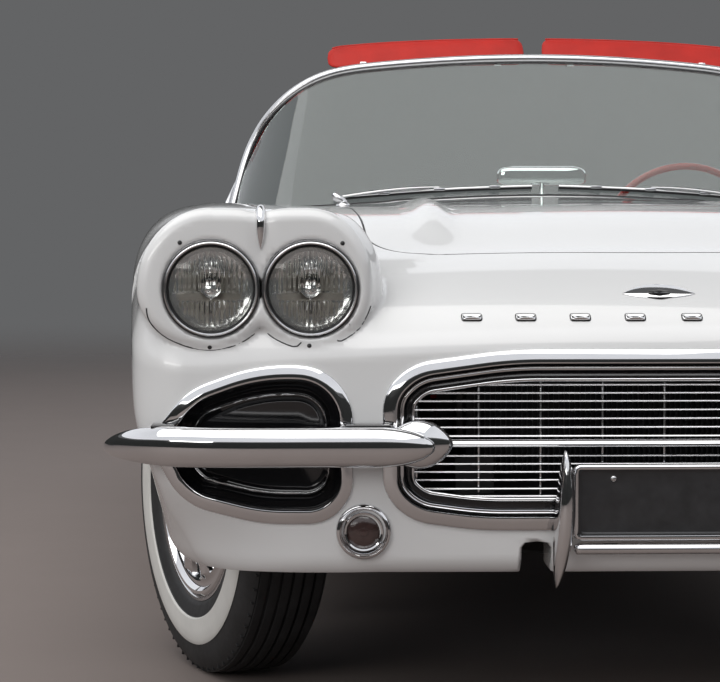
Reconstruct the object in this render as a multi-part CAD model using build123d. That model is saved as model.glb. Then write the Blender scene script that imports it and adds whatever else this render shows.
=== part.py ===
from build123d import *
import math
import os
from collections import namedtuple

# A two-seat open roadster of about 1960, in millimetres.
# The car faces -Y, +X is its left side and +Z is up. The floor it stands on is Z = 0.

# Driving dimensions
WHEELBASE = 2591.0
FRONT_AXLE_Y = -1436.0
REAR_AXLE_Y = FRONT_AXLE_Y + WHEELBASE
FRONT_TRACK = 1448.0
REAR_TRACK = 1499.0
TYRE_RADIUS = 345.0
TYRE_WIDTH = 175.0
RIM_RADIUS = 203.0
AXLE_RADIUS = 38.0
KINGPIN_X = 640.0
LOWER_ARM_Z = 238.0
UPPER_ARM_Z = 452.0
ARM_HALF = 12.0
STEER_AT_REST = 22.0
WALL = 14.0
LID_THICKNESS = 22.0
GAP = 6.0
SEAT_FIT = 0.3
SHAFT_RADIUS = 18.0
SHAFT_CLEARANCE = 0.05

# Panel lines
SPLIT_X = 465.0
HOOD_FRONT_Y = -1925.0
HOOD_REAR_Y = -700.0
DOOR_FRONT_Y = -450.0
DOOR_REAR_Y = 535.0
DOOR_INNER_X = 762.0
DOOR_BOTTOM_Z = 350.0
COWL_REAR_Y = -430.0
COCKPIT_REAR_Y = 560.0
LID_JOIN_Y = 935.0
TRUNK_REAR_Y = 2080.0
TAIL_Y = 2176.0
SILL_INNER_X = 640.0
FLOOR_Z = 300.0
FLOOR_THICKNESS = 8.0
RAIL_WIDTH = 64.0
RAIL_HEIGHT = 88.0
FRONT_RAIL_Z = 395.0
REAR_RAIL_Z = 490.0
TAIL_RAIL_Z = 400.0
TRUNK_STEP_Y = 1720.0
ENGINE_Z = 392.0
TRUNK_FLOOR_Z = REAR_RAIL_Z + RAIL_HEIGHT / 2 + SEAT_FIT
HOUSE_X = 645.0

# Wheel arches
FRONT_ARCH_RADIUS = 398.0
REAR_ARCH_RADIUS = 388.0
ARCH_Z = 338.0

# Front end
NOSE_Y = -2172.0
BUMPER_FRONT_Y = -2244.0
BUMPER_Z = 500.0
LAMP_Z = 748.0
LAMP_X = (570.0, 729.5)
LAMP_RADIUS = 67.0
LAMP_RING_RADIUS = 74.5
POD_FRONT_Y = -2152.0
POD_REAR_Y = -1960.0
PARK_LAMP = (485.5, 360.0)
PARK_LAMP_RADIUS = 43.0
GUARD_X = 171.0
PLATE_WIDTH = 282.0
PLATE_HEIGHT = 110.0
PLATE_Z = 405.0
PLATE_HOLE_Z = 447.0
PLATE_BOLT_SPACING = 178.0
PLATE_HOLE_RADIUS = 3.5

# Cockpit
STEERING_HUB = (395.0, -150.0, 838.0)
STEERING_TILT = 24.0
STEERING_WHEEL_RADIUS = 205.0
COLUMN_RADIUS = 24.0
VENT_X = 773.0
VENT_LEAN = 24.0
SEAT_X = 386.0
SEAT_WIDTH = 468.0

# Rear end
REAR_BUMPER_Z = 490.0
TAIL_LAMP_X = (478.0, 640.0)
TAIL_LAMP_Z = 640.0
TAIL_LAMP_RADIUS = 52.0
EXHAUST_X = 560.0
EXHAUST_RADIUS = 27.0
EXHAUST_BORE = 24.0

# Body sections from nose to tail. Each row is half of a polygon in the XZ plane:
# base corner, widest point, fender corner (with its radius), valley beside the hood, centreline.
Section = namedtuple(
    "Section",
    "y base_x base_z wide_x wide_z crown_x crown_z crown_r valley_x valley_z centre_z",
)
BODY = [
    Section(NOSE_Y, 670, 302, 768, 505, 722, 640, 42, SPLIT_X, 662, 674),
    Section(-2125, 718, 292, 822, 515, 790, 800, 78, SPLIT_X, 736, 750),
    Section(-2030, 762, 288, 852, 535, 838, 898, 110, SPLIT_X, 780, 794),
    Section(-1900, 790, 288, 868, 560, 858, 912, 120, SPLIT_X + 5, 812, 828),
    Section(FRONT_AXLE_Y, 815, 288, 888, 570, 872, 912, 125, 490, 878, 898),
    Section(HOOD_REAR_Y, 820, 288, 880, 570, 866, 902, 120, 560, 892, 930),
    Section(-100, 820, 288, 874, 565, 860, 894, 110, 560, 868, 905),
    Section(500, 820, 288, 878, 565, 864, 896, 110, 560, 858, 882),
    Section(REAR_AXLE_Y, 822, 292, 892, 570, 876, 906, 130, 560, 848, 866),
    Section(1700, 806, 300, 880, 575, 858, 866, 125, 550, 810, 830),
    Section(2050, 760, 318, 844, 575, 812, 808, 90, 530, 762, 782),
    Section(TAIL_Y, 690, 350, 782, 575, 740, 745, 60, 500, 706, 724),
]
BASE_R = 40.0
SIDE_R = 160.0
VALLEY_R = 70.0
CENTRE_R = 1800.0


# Outlines and simple solids


def corner_offset(before, point, after, distance):
    """The corner of the line set off to the left of the path before-point-after."""
    ax, ay = point[0] - before[0], point[1] - before[1]
    bx, by = after[0] - point[0], after[1] - point[1]
    la, lb = math.hypot(ax, ay), math.hypot(bx, by)
    n1 = (-ay / la, ax / la)
    n2 = (-by / lb, bx / lb)
    scale = distance / (1 + n1[0] * n2[0] + n1[1] * n2[1])
    return (point[0] + (n1[0] + n2[0]) * scale, point[1] + (n1[1] + n2[1]) * scale)


def turn(before, point, after):
    """Positive where the path turns left at point."""
    ax, ay = point[0] - before[0], point[1] - before[1]
    bx, by = after[0] - point[0], after[1] - point[1]
    return ax * by - ay * bx


def inset_loop(points, radii, distance):
    """A closed counter-clockwise loop moved inwards, with radii that stay concentric."""
    count = len(points)
    moved, rounds = [], []
    for i in range(count):
        before, point, after = points[i - 1], points[i], points[(i + 1) % count]
        moved.append(corner_offset(before, point, after, distance))
        bend = 1 if turn(before, point, after) > 0 else -1
        rounds.append(max(radii[i] - bend * distance, 1.0))
    return moved, rounds


def band_loop(points, radii, thickness):
    """A closed loop round an open path, half the thickness to each side of it."""
    half = thickness / 2
    last = len(points) - 1

    def side(distance):
        line = []
        for i, point in enumerate(points):
            before = points[i - 1] if i else (2 * point[0] - points[1][0], 2 * point[1] - points[1][1])
            after = points[i + 1] if i < last else (2 * point[0] - before[0], 2 * point[1] - before[1])
            line.append(corner_offset(before, point, after, distance))
        return line

    ends = [0.0] + list(radii) + [0.0]
    return side(half) + side(-half)[::-1], ends + ends[::-1]


def loop_face(points, radii):
    return make_face(FilletPolyline(points, radius=radii, close=True))


def plan_prism(points, radii, z0, z1):
    face = loop_face([(x, y, z0) for x, y in points], radii)
    return extrude(face, amount=z1 - z0, dir=(0, 0, 1))


def front_prism(points, radii, y0, y1):
    face = loop_face([(x, y0, z) for x, z in points], radii)
    return extrude(face, amount=y1 - y0, dir=(0, 1, 0))


def side_prism(points, radii, x0, x1):
    face = loop_face([(x0, y, z) for y, z in points], radii)
    return extrude(face, amount=x1 - x0, dir=(1, 0, 0))


def block(x0, x1, y0, y1, z0, z1):
    middle = Pos((x0 + x1) / 2, (y0 + y1) / 2, (z0 + z1) / 2)
    return middle * Box(x1 - x0, y1 - y0, z1 - z0)


def rod(start, end, radius, bore=0.0):
    start, end = Vector(start), Vector(end)
    place = Plane(origin=start, z_dir=end - start)
    length = (end - start).length
    low = (Align.CENTER, Align.CENTER, Align.MIN)
    made = Cylinder(radius, length, align=low)
    if bore:
        made -= Cylinder(bore, length, align=low)
    return place * made


def other_side(shape):
    return mirror(shape, about=Plane.YZ)


def both(shape):
    return [shape, other_side(shape)]


def joined(shapes):
    first, *rest = shapes
    return first + rest


# Body shell


def body_loop(s, inset, sink):
    right = [(s.base_x, s.base_z), (s.wide_x, s.wide_z), (s.crown_x, s.crown_z), (s.valley_x, s.valley_z)]
    radii = [BASE_R, SIDE_R, s.crown_r, VALLEY_R]
    points = right + [(0, s.centre_z)] + [(-x, z) for x, z in reversed(right)]
    points, radii = inset_loop(points, radii + [CENTRE_R] + radii[::-1], inset)
    if sink:
        points = [(x, z - sink if i in (0, len(points) - 1) else z) for i, (x, z) in enumerate(points)]
    return points, radii


def body_solid(inset=0.0, sink=0.0):
    """The whole body as one loft, moved inwards by inset. With sink it runs out below the sills."""
    faces = []
    for s in BODY:
        points, radii = body_loop(s, inset, sink)
        y = {NOSE_Y: NOSE_Y + inset, TAIL_Y: TAIL_Y - inset}.get(s.y, s.y)
        faces.append(loop_face([(x, y, z) for x, z in points], radii))
    return loft(faces)


def arch_cut(axle_y, radius):
    return rod((-1000, axle_y, ARCH_Z), (1000, axle_y, ARCH_Z), radius)


HOOD_LINE = (
    [(0, -688), (-548, -697), (-462, HOOD_FRONT_Y), (0, HOOD_FRONT_Y - 23), (462, HOOD_FRONT_Y), (548, -697)],
    [3000, 40, 95, 1500, 95, 40],
)
TOP_LID_LINE = (
    [(560, COCKPIT_REAR_Y), (535, LID_JOIN_Y), (-535, LID_JOIN_Y), (-560, COCKPIT_REAR_Y)],
    [30, 12, 12, 30],
)
TRUNK_LINE = (
    [(535, LID_JOIN_Y), (478, TRUNK_REAR_Y), (-478, TRUNK_REAR_Y), (-535, LID_JOIN_Y)],
    [12, 90, 90, 12],
)


def lid_prism(line, inset=0.0):
    points, radii = line
    if inset:
        points, radii = inset_loop(points, radii, inset)
    return plan_prism(points, radii, 500, 1100)


def mouth_loop(inset=0.0):
    """The grille opening in the nose."""
    points = [(330, 366), (455, 400), (455, 600), (330, 649), (-330, 649), (-455, 600), (-455, 400), (-330, 366)]
    radii = [60, 95, 90, 150, 150, 90, 95, 60]
    return inset_loop(points, radii, inset) if inset else (points, radii)


def scoop_loop(inset=0.0):
    """The oval opening under the headlamps, on the left side."""
    points = [(650, 372), (838, 498), (690, 625), (508, 625), (508, 376)]
    radii = [190, 26, 150, 88, 62]
    return inset_loop(points, radii, inset) if inset else (points, radii)


def pod_loop(inset=0.0):
    """The hood of one headlamp pair, on the left side."""
    inner, outer = LAMP_X
    low, high = LAMP_Z - 94, LAMP_Z + 124
    middle = (inner + outer) / 2
    points = [
        (inner - 20, low),
        (middle, low + 26),
        (outer + 20, low),
        (outer + 132, LAMP_Z + 6),
        (outer + 72, high),
        (inner - 68, high),
        (inner - 116, LAMP_Z),
    ]
    radii = [84, 40, 84, 90, 96, 96, 84]
    return inset_loop(points, radii, inset) if inset else (points, radii)


def pod():
    outer = front_prism(*pod_loop(), POD_FRONT_Y, POD_REAR_Y)
    front = outer.faces().sort_by(Axis.Y)[0]
    outer = fillet(front.edges(), 22)
    hollow = front_prism(*pod_loop(WALL), POD_FRONT_Y + 70, POD_REAR_Y + 1)
    outer -= hollow
    for x in LAMP_X:
        outer -= rod((x, POD_FRONT_Y - 10, LAMP_Z), (x, POD_FRONT_Y + 80, LAMP_Z), LAMP_RING_RADIUS + SEAT_FIT)
    return outer


def front_panels(shell, outer):
    opening = lid_prism(HOOD_LINE)
    left = shell & block(SPLIT_X, 1000, -2300, DOOR_FRONT_Y, 0, 1200)
    left -= opening
    left -= block(0, DOOR_INNER_X - GAP, HOOD_REAR_Y, DOOR_FRONT_Y + 1, 0, 1200)
    left -= front_prism(*scoop_loop(), -2300, -2040)
    head = pod() - (outer & block(0, 1000, -2300, -1900, 0, LAMP_Z - 90))
    left = left - front_prism(*pod_loop(1.0), -2400, POD_REAR_Y - 20) + head
    left += outer & block(DOOR_INNER_X - GAP, 1000, DOOR_FRONT_Y - 12, DOOR_FRONT_Y, DOOR_BOTTOM_Z, 1000)
    left += door_plates()
    x, z = PARK_LAMP
    left -= rod((x, -2300, z), (x, -2100, z), PARK_LAMP_RADIUS - 8)
    nose = shell & block(-SPLIT_X, SPLIT_X, -2300, HOOD_FRONT_Y + 60, 0, 1200)
    nose = nose - opening - front_prism(*mouth_loop(), -2300, -2040)
    for side in (-1, 1):
        nose -= rod((side * x, -2300, z), (side * x, -2100, z), PARK_LAMP_RADIUS - 8)
    return left, nose


def cowl_panel(shell):
    side = DOOR_INNER_X - GAP
    cowl = shell & block(-side, side, HOOD_REAR_Y, COWL_REAR_Y, 600, 1200)
    return cowl - lid_prism(HOOD_LINE)


def rear_panels(shell, outer):
    left = shell & block(500, 1000, DOOR_REAR_Y, 2300, 0, 1200)
    left = left - lid_prism(TOP_LID_LINE) - lid_prism(TRUNK_LINE)
    left -= block(0, SILL_INNER_X + 60, DOOR_REAR_Y - 1, COCKPIT_REAR_Y, 0, 1200)
    left += outer & block(735 + SEAT_FIT, 1000, DOOR_REAR_Y, DOOR_REAR_Y + 12, DOOR_BOTTOM_Z, 1000)
    reach = REAR_ARCH_RADIUS + 8
    house = rod((HOUSE_X, REAR_AXLE_Y, ARCH_Z), (866, REAR_AXLE_Y, ARCH_Z), reach, REAR_ARCH_RADIUS)
    house += rod((HOUSE_X, REAR_AXLE_Y, ARCH_Z), (HOUSE_X + 7, REAR_AXLE_Y, ARCH_Z), reach)
    left += house & block(600, 900, 500, 1800, TRUNK_FLOOR_Z, 1000)
    tail = shell & block(-500, 500, TRUNK_REAR_Y - 60, 2300, 0, 1200)
    tail -= lid_prism(TRUNK_LINE)
    for x in TAIL_LAMP_X:
        left -= rod((x, 2080, TAIL_LAMP_Z), (x, 2300, TAIL_LAMP_Z), TAIL_LAMP_RADIUS - 8)
        for side in (-1, 1):
            tail -= rod((side * x, 2080, TAIL_LAMP_Z), (side * x, 2300, TAIL_LAMP_Z), TAIL_LAMP_RADIUS - 8)
    return left, tail


def lid(outer, inner, line):
    return (outer - inner) & lid_prism(line, GAP)


def rests(inner, under):
    """Hinge plates and ledges that the closed hood and lids lie on."""
    spans = [
        ((-320, -280), (-1938, -1905), (-1975, -1938), 745),
        ((280, 320), (-1938, -1905), (-1975, -1938), 745),
        ((-45, 45), (-735, -694), (-694, -655), 870),
        ((-60, 60), (2045, 2076), (2076, 2110), 700),
    ]
    made = []
    for (x0, x1), lid_y, wall_y, z in spans:
        made.append((block(x0, x1, *lid_y, z, 1000) & under) + (block(x0, x1, *wall_y, z, 1000) & inner))
    beam = block(-542, 542, LID_JOIN_Y - 28, LID_JOIN_Y + 28, 795, 1000) & under
    ends = block(542, 640, LID_JOIN_Y - 28, LID_JOIN_Y + 28, 780, 1000) & inner
    made.append(beam + both(ends))
    made.append(block(-500, 500, COCKPIT_REAR_Y - 10, COCKPIT_REAR_Y + 18, 780, 1000) & under)
    return made


def door_plates():
    """Hinge plates on the post in front of the left door, 0.3 mm from its front edge."""
    back = DOOR_FRONT_Y + GAP - SEAT_FIT
    return [block(780, 840, DOOR_FRONT_Y, back, z - 30, z + 30) for z in (460, 780)]


def door(outer):
    front, back = DOOR_FRONT_Y + GAP, DOOR_REAR_Y - GAP
    points = [(DOOR_INNER_X, front), (1000, front), (1000, back), (868, back), (DOOR_INNER_X, back - 26)]
    return outer & plan_prism(points, [0] * 5, DOOR_BOTTOM_Z, 1200)


def sill(outer):
    span = block(SILL_INNER_X, 1000, DOOR_FRONT_Y, DOOR_REAR_Y, 0, DOOR_BOTTOM_Z - GAP)
    return outer & span


# Chassis and underside


def ladder_frame():
    mid_z = FLOOR_Z - SEAT_FIT - RAIL_HEIGHT / 2
    line = [
        (300, -2080, FRONT_RAIL_Z + 30), (330, -1800, FRONT_RAIL_Z), (345, -1150, FRONT_RAIL_Z), (520, -790, mid_z),
        (520, 600, mid_z), (450, 860, REAR_RAIL_Z), (450, 1450, REAR_RAIL_Z), (430, TRUNK_STEP_Y - 20, TAIL_RAIL_Z),
        (430, 2080, TAIL_RAIL_Z),
    ]
    path = FilletPolyline(line, radius=[60, 90, 90, 60, 60, 60, 60], close=False)
    start = Plane(origin=path @ 0, x_dir=(0, 0, 1), z_dir=path % 0)
    rail = sweep(start * Rectangle(RAIL_HEIGHT, RAIL_WIDTH), path=path, transition=Transition.ROUND)
    rail += block(500, 548 - SEAT_FIT, 590, 625, 280, 372)
    rail += block(400, 548 - SEAT_FIT, 1775, 1815, 392, 418)
    engine_base = ENGINE_Z - SEAT_FIT
    floor_base = FLOOR_Z - SEAT_FIT
    cross = [
        block(-335, 335, -1500, -1372, 330, 388),
        block(-345, 345, -1160, -1110, 352, engine_base),
        block(-500, 500, -420, -360, 272, floor_base),
        block(-500, 500, 440, 500, 272, floor_base),
        rod((-430, 1600, 440), (430, 1600, 440), 30),
        rod((-425, 2040, TAIL_RAIL_Z), (425, 2040, TAIL_RAIL_Z), 30),
    ]
    return joined(both(rail) + cross)


def engine():
    """Engine and gearbox as one plain block."""
    return block(-270, 270, -1330, -760, ENGINE_Z, 760) + block(-110, 110, -760, -480, ENGINE_Z, 560)


def floor_pan():
    """Cabin floor with the raised tunnel between the seats."""
    back = COCKPIT_REAR_Y - 10
    deck = block(-SILL_INNER_X, SILL_INNER_X, -720, back, FLOOR_Z, FLOOR_Z + FLOOR_THICKNESS)
    tunnel = front_prism([(-150, FLOOR_Z), (150, FLOOR_Z), (120, 470), (-120, 470)], [0, 0, 40, 40], -470, back)
    bore = front_prism([(-142, 200), (142, 200), (112, 462), (-112, 462)], [0, 0, 34, 34], -730, back + 1)
    return deck + tunnel - bore - block(-125, 125, -730, -470, 0, 600)


def bulkheads(outer):
    """The firewall in front of the cabin and the wall behind it."""
    base = FLOOR_Z + FLOOR_THICKNESS
    front = block(-735, 735, -700, -692, base, 840) - block(-280, 280, -702, -680, 0, 600)
    back = block(-735, 735, COCKPIT_REAR_Y - 18, COCKPIT_REAR_Y - 10, base, 812)
    back -= front_prism([(-152, FLOOR_Z), (152, FLOOR_Z), (122, 472), (-122, 472)], [0, 0, 40, 40], 400, 600)
    return [front & outer, back & outer]


def trunk_floor():
    low = TAIL_RAIL_Z + RAIL_HEIGHT / 2 + SEAT_FIT
    side = HOUSE_X - SEAT_FIT
    shelf = block(-side, side, COCKPIT_REAR_Y - 10, TRUNK_STEP_Y, TRUNK_FLOOR_Z, TRUNK_FLOOR_Z + 8)
    step = block(-side, side, TRUNK_STEP_Y, TRUNK_STEP_Y + 8, low, TRUNK_FLOOR_Z + 8)
    return shelf + step + block(-side, side, TRUNK_STEP_Y, 2150, low, low + 8)


def exhaust():
    """Two lines under the floor, each of a front pipe, a silencer on a straight pipe and a tail pipe."""
    x, z = 250, 242
    front_end, tail_start = -660, 500

    def pipe(line):
        path = FilletPolyline(line, radius=[80] * (len(line) - 2))
        start = Plane(origin=path @ 0, z_dir=path % 0)
        return sweep(start * Circle(EXHAUST_BORE), path=path, transition=Transition.ROUND)

    front = pipe([(294.5, -980, 380), (x, -760, z), (x, front_end, z)])
    straight = rod((x, front_end + SEAT_FIT, z), (x, tail_start, z), EXHAUST_BORE)
    silencer = rod((x, -150, z), (x, 330, z), 54)
    hangers = [block(x - 12, x + 12, y - 10, y + 10, z + 8, 272 - SEAT_FIT) for y in (-390, 470)]
    tail = pipe([
        (x, tail_start + SEAT_FIT, z), (x, 560, z), (330, 800, 262), (330, 1480, 262),
        (EXHAUST_X, 1760, 262), (EXHAUST_X, 2100, 300),
    ])
    tip = rod((EXHAUST_X, 2090, 299), (EXHAUST_X, 2190, 299), EXHAUST_RADIUS)
    bore = rod((EXHAUST_X, 2110, 299), (EXHAUST_X, 2191, 299), EXHAUST_BORE)
    parts = [front, joined([straight, silencer] + hangers), tail + tip - bore]
    return parts + [other_side(part) for part in parts]


def front_suspension():
    """Wishbones, coil springs and the cross tube that carry the two knuckles."""
    made = []
    for z, inner in ((LOWER_ARM_Z, 325), (UPPER_ARM_Z, 400)):
        eye = KINGPIN_X + 26
        points = [
            (inner, FRONT_AXLE_Y - 130), (eye, FRONT_AXLE_Y - 27), (eye, FRONT_AXLE_Y + 27), (inner, FRONT_AXLE_Y + 130),
        ]
        arm = plan_prism(points, [20, 26, 26, 20], z - ARM_HALF, z + ARM_HALF)
        made.append(arm - pin(SHAFT_RADIUS + SHAFT_CLEARANCE))
    made.append(rod((470, FRONT_AXLE_Y, LOWER_ARM_Z), (455, FRONT_AXLE_Y, UPPER_ARM_Z), 52))
    made.append(block(374, 420, FRONT_AXLE_Y - 60, FRONT_AXLE_Y + 60, LOWER_ARM_Z - ARM_HALF, UPPER_ARM_Z + ARM_HALF))
    tube = block(-335, 335, FRONT_AXLE_Y - 60, FRONT_AXLE_Y + 60, LOWER_ARM_Z - ARM_HALF, 330 - SEAT_FIT)
    return joined(both(joined(made)) + [tube])


def pin(radius):
    """The left kingpin, through both wishbone eyes."""
    low, high = LOWER_ARM_Z - ARM_HALF - 4, UPPER_ARM_Z + ARM_HALF + 4
    return rod((KINGPIN_X, FRONT_AXLE_Y, low), (KINGPIN_X, FRONT_AXLE_Y, high), radius)


def knuckle():
    """The left knuckle with its spindle and brake backing plate, pointing straight ahead."""
    y, z = FRONT_AXLE_Y, TYRE_RADIUS
    post = rod((KINGPIN_X, y, z - 75), (KINGPIN_X, y, z + 75), 30)
    web = rod((KINGPIN_X, y, z), (KINGPIN_X + 16, y, z), 44)
    plate = rod((KINGPIN_X + 14, y, z), (KINGPIN_X + 22, y, z), 132) & block(0, 800, y - 200, y + 200, z - 88, z + 88)
    spindle = rod((KINGPIN_X, y, z), (FRONT_TRACK / 2 + 30, y, z), SHAFT_RADIUS)
    return joined([post, web, plate, spindle, pin(SHAFT_RADIUS)])


def rear_axle():
    """Live axle with brake backing plates and spindles, turned as one, and the propeller shaft."""
    plate = REAR_TRACK / 2 - 68
    half = [
        (60, 118), (110, 80), (135, AXLE_RADIUS), (plate, AXLE_RADIUS), (plate, 132), (plate + 8, 132),
        (plate + 8, SHAFT_RADIUS), (REAR_TRACK / 2 + 30, SHAFT_RADIUS),
    ]
    end = REAR_TRACK / 2 + 30
    outline = [(-end, 0)] + [(-x, r) for x, r in reversed(half)] + [(0, 128)] + half + [(end, 0)]
    axle = revolve(make_face(Polyline([(x, r, 0) for x, r in outline], close=True)), axis=Axis.X)
    shaft = rod((0, -477, 416), (0, REAR_AXLE_Y - 60, 350), 36)
    return Pos(0, REAR_AXLE_Y, TYRE_RADIUS) * axle + shaft


def leaf_springs():
    y, top = REAR_AXLE_Y, TYRE_RADIUS - AXLE_RADIUS - SEAT_FIT
    points = [
        (y - 565, 352), (y - 60, top - 20), (y + 60, top - 20), (y + 660, 400),
        (y + 660, 416), (y + 60, top), (y - 60, top), (y - 565, 368),
    ]
    return both(side_prism(points, [4] * 8, 548, 604))


# Wheels


def tyre():
    profile = [(62, TYRE_RADIUS), (80, TYRE_RADIUS - 14), (TYRE_WIDTH / 2, TYRE_RADIUS - 60), (70, RIM_RADIUS + SEAT_FIT)]
    points = [(x, r) for x, r in profile] + [(-x, r) for x, r in reversed(profile)]
    face = make_face(Polyline([(x, r, 0) for x, r in points], close=True))
    return revolve(face, axis=Axis.X)


def wheel():
    """Rim, disc, brake drum and hub, turned as one, with the outer side towards +X."""
    outline = [
        (-66, 199), (-66, RIM_RADIUS), (66, RIM_RADIUS), (66, 170), (44, 150), (44, 60), (58, 40), (58, 0),
        (40, 0), (40, SHAFT_RADIUS + SHAFT_CLEARANCE), (-20, SHAFT_RADIUS + SHAFT_CLEARANCE), (-20, 46),
        (30, 60), (30, 138), (-52, 138), (-52, 148), (30, 150), (52, 176), (52, 189), (-52, 189),
    ]
    face = make_face(Polyline([(x, r, 0) for x, r in outline], close=True))
    return revolve(face, axis=Axis.X)


def wheel_cover():
    """A pressed full cover with a ring of raised windows round a domed centre."""
    outline = [
        (66.3, 196), (76, 196), (78, 186), (72, 170), (70, 150), (72, 120), (84, 92), (88, 60), (86, 40), (96, 26), (100, 0),
        (92, 0), (80, 40), (80, 60), (66.3, 112),
    ]
    face = make_face(Polyline([(x, r, 0) for x, r in outline], close=True))
    cover = revolve(face, axis=Axis.X)
    for i in range(10):
        window = Pos(74, 0, 0) * Rot(i * 36, 0, 0) * Pos(0, 0, 132) * Box(14, 40, 30)
        cover += window
    return cover


def set_front(shape, side):
    """Puts a piece made at the origin on a front wheel, turned to the steering angle at rest."""
    face_out = shape if side > 0 else Rot(0, 0, 180) * shape
    placed = Pos(side * (FRONT_TRACK / 2 - KINGPIN_X), 0, TYRE_RADIUS) * face_out
    return Pos(side * KINGPIN_X, FRONT_AXLE_Y, 0) * Rot(0, 0, STEER_AT_REST) * placed


def set_rear(shape, side):
    face_out = shape if side > 0 else Rot(0, 0, 180) * shape
    return Pos(side * REAR_TRACK / 2, REAR_AXLE_Y, TYRE_RADIUS) * face_out


def steer(shape, side):
    """Turns a knuckle about its own kingpin to the steering angle at rest."""
    x = side * KINGPIN_X
    return Pos(x, FRONT_AXLE_Y, 0) * Rot(0, 0, STEER_AT_REST) * Pos(-x, -FRONT_AXLE_Y, 0) * shape


# Front trim


def scoop_ring(band):
    """The bright strip inside one scoop opening, standing a little proud of the skin."""
    return band & front_prism(*scoop_loop(), -2300, -2060) - front_prism(*scoop_loop(17), -2301, -2059)


def grille_surround():
    outside = front_prism(*mouth_loop(SEAT_FIT), NOSE_Y - 10, NOSE_Y + 52)
    inside = front_prism(*mouth_loop(20), NOSE_Y - 20, NOSE_Y + 60)
    return outside - inside


GRILLE_BARS = [581, 568, 554, 540, 526, 512, 480, 467, 454, 441, 427]
BROAD_BAR = (494, 507)
GRILLE_RIBS = range(-400, 401, 100)


def grille():
    """Thin level bars tied by upright ribs, with one broad bar across the middle."""
    y0, y1 = NOSE_Y + 22, NOSE_Y + 34
    bars = [block(-450, 450, y0, y1, z - 1.8, z + 1.8) for z in GRILLE_BARS]
    bars.append(block(-450, 450, y0 - 8, y1, *BROAD_BAR))
    ribs = [block(x - 1.5, x + 1.5, y0 + 3, y1, 380, 630) for x in GRILLE_RIBS]
    frame = front_prism(*mouth_loop(20 + SEAT_FIT), y0, y1) - front_prism(*mouth_loop(32), y0 - 1, y1 + 1)
    inside = front_prism(*mouth_loop(20 + SEAT_FIT), y0 - 10, y1 + 10)
    return joined([frame] + bars + ribs) & inside


def scoop_bowl(outer):
    """The blanked black bowl behind one scoop opening."""
    wall = front_prism(*scoop_loop(17 + SEAT_FIT), -2130, -2048)
    hollow = front_prism(*scoop_loop(24), -2140, -2054)
    return (wall - hollow) & outer


def bumper_blade(clear):
    """The left half bumper: a blade with a pointed inner end, over a rounded boss on a bracket."""
    z = BUMPER_Z
    line = [(346, BUMPER_FRONT_Y + 24, z), (745, BUMPER_FRONT_Y + 22, z), (868, -2120, z), (876, -1915, z)]
    path = FilletPolyline(line, radius=[150, 150])
    section = Plane(origin=path @ 0, x_dir=(0, 0, 1), z_dir=path % 0) * RectangleRounded(60, 44, 19)
    blade = sweep(section, path=path, transition=Transition.ROUND)
    low, mid, high = z - 30, z, z + 31
    front_taper = [(372, mid), (434, low), (1000, low), (1000, high), (434, high)]
    side_taper = [(-1900, mid), (-1990, high), (-2400, high), (-2400, low), (-1990, low)]
    blade &= front_prism(front_taper, [8, 70, 0, 0, 70], -2400, -1800)
    blade &= side_prism(side_taper, [6, 80, 0, 0, 80], 0, 1000)
    bracket = block(472, 500, BUMPER_FRONT_Y + 40, NOSE_Y - SEAT_FIT, z - 13, z + 13)
    boss = Pos(397, BUMPER_FRONT_Y + 39, z + 3) * scale(Sphere(39), by=(1.35, 0.6, 1))
    return blade + boss - clear + bracket


def guards_and_frame():
    """The two upright guards with the bare plate holder between them, each on its own stay."""
    y = BUMPER_FRONT_Y
    side_view = [(y + 28, 280), (y + 56, 296), (y + 60, 470), (y + 44, 500), (y, 400)]
    foot, top = GUARD_X + 13, GUARD_X + 2
    front_view = [
        (foot, 274), (foot + 7, 330), (GUARD_X + 13, 450), (top, 503), (GUARD_X - 14, 450), (foot - 20, 330),
    ]
    guard = side_prism(side_view, [8, 12, 12, 10, 60], GUARD_X - 30, GUARD_X + 30)
    guard &= front_prism(front_view, [3, 60, 60, 3, 60, 60], y - 10, -2100)
    guard += block(GUARD_X - 4, GUARD_X + 10, y + 50, NOSE_Y - SEAT_FIT, 330, 352)
    half_w, half_h = PLATE_WIDTH / 2, PLATE_HEIGHT / 2
    y0, y1 = BUMPER_FRONT_Y + 34, BUMPER_FRONT_Y + 48
    frame = block(-half_w - 10, half_w + 10, y0, y1, PLATE_Z - half_h - 25, PLATE_Z + half_h + 7)
    frame -= block(-half_w, half_w, y0 - 1, y1 - 4, PLATE_Z - half_h, PLATE_Z + half_h)
    stays = block(100, 130, y1 - 1, NOSE_Y - SEAT_FIT, 334, 346)
    frame += joined(both(stays))
    for x in (-PLATE_BOLT_SPACING / 2, PLATE_BOLT_SPACING / 2):
        frame -= rod((x, y0 - 5, PLATE_HOLE_Z), (x, y1 + 5, PLATE_HOLE_Z), PLATE_HOLE_RADIUS)
    return both(guard) + [frame]


def headlamp(x):
    low = (Align.CENTER, Align.CENTER, Align.MIN)
    can = rod((x, POD_FRONT_Y + 10, LAMP_Z), (x, POD_FRONT_Y + 80, LAMP_Z), LAMP_RADIUS)
    dome = Pos(x, POD_FRONT_Y + 235, LAMP_Z) * Sphere(235)
    lens = dome & rod((x, POD_FRONT_Y - 2, LAMP_Z), (x, POD_FRONT_Y + 12, LAMP_Z), LAMP_RADIUS)
    return can + lens


def lamp_ring(x):
    return rod((x, POD_FRONT_Y + 2, LAMP_Z), (x, POD_FRONT_Y + 20, LAMP_Z), LAMP_RING_RADIUS, LAMP_RADIUS + SEAT_FIT)


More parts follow.
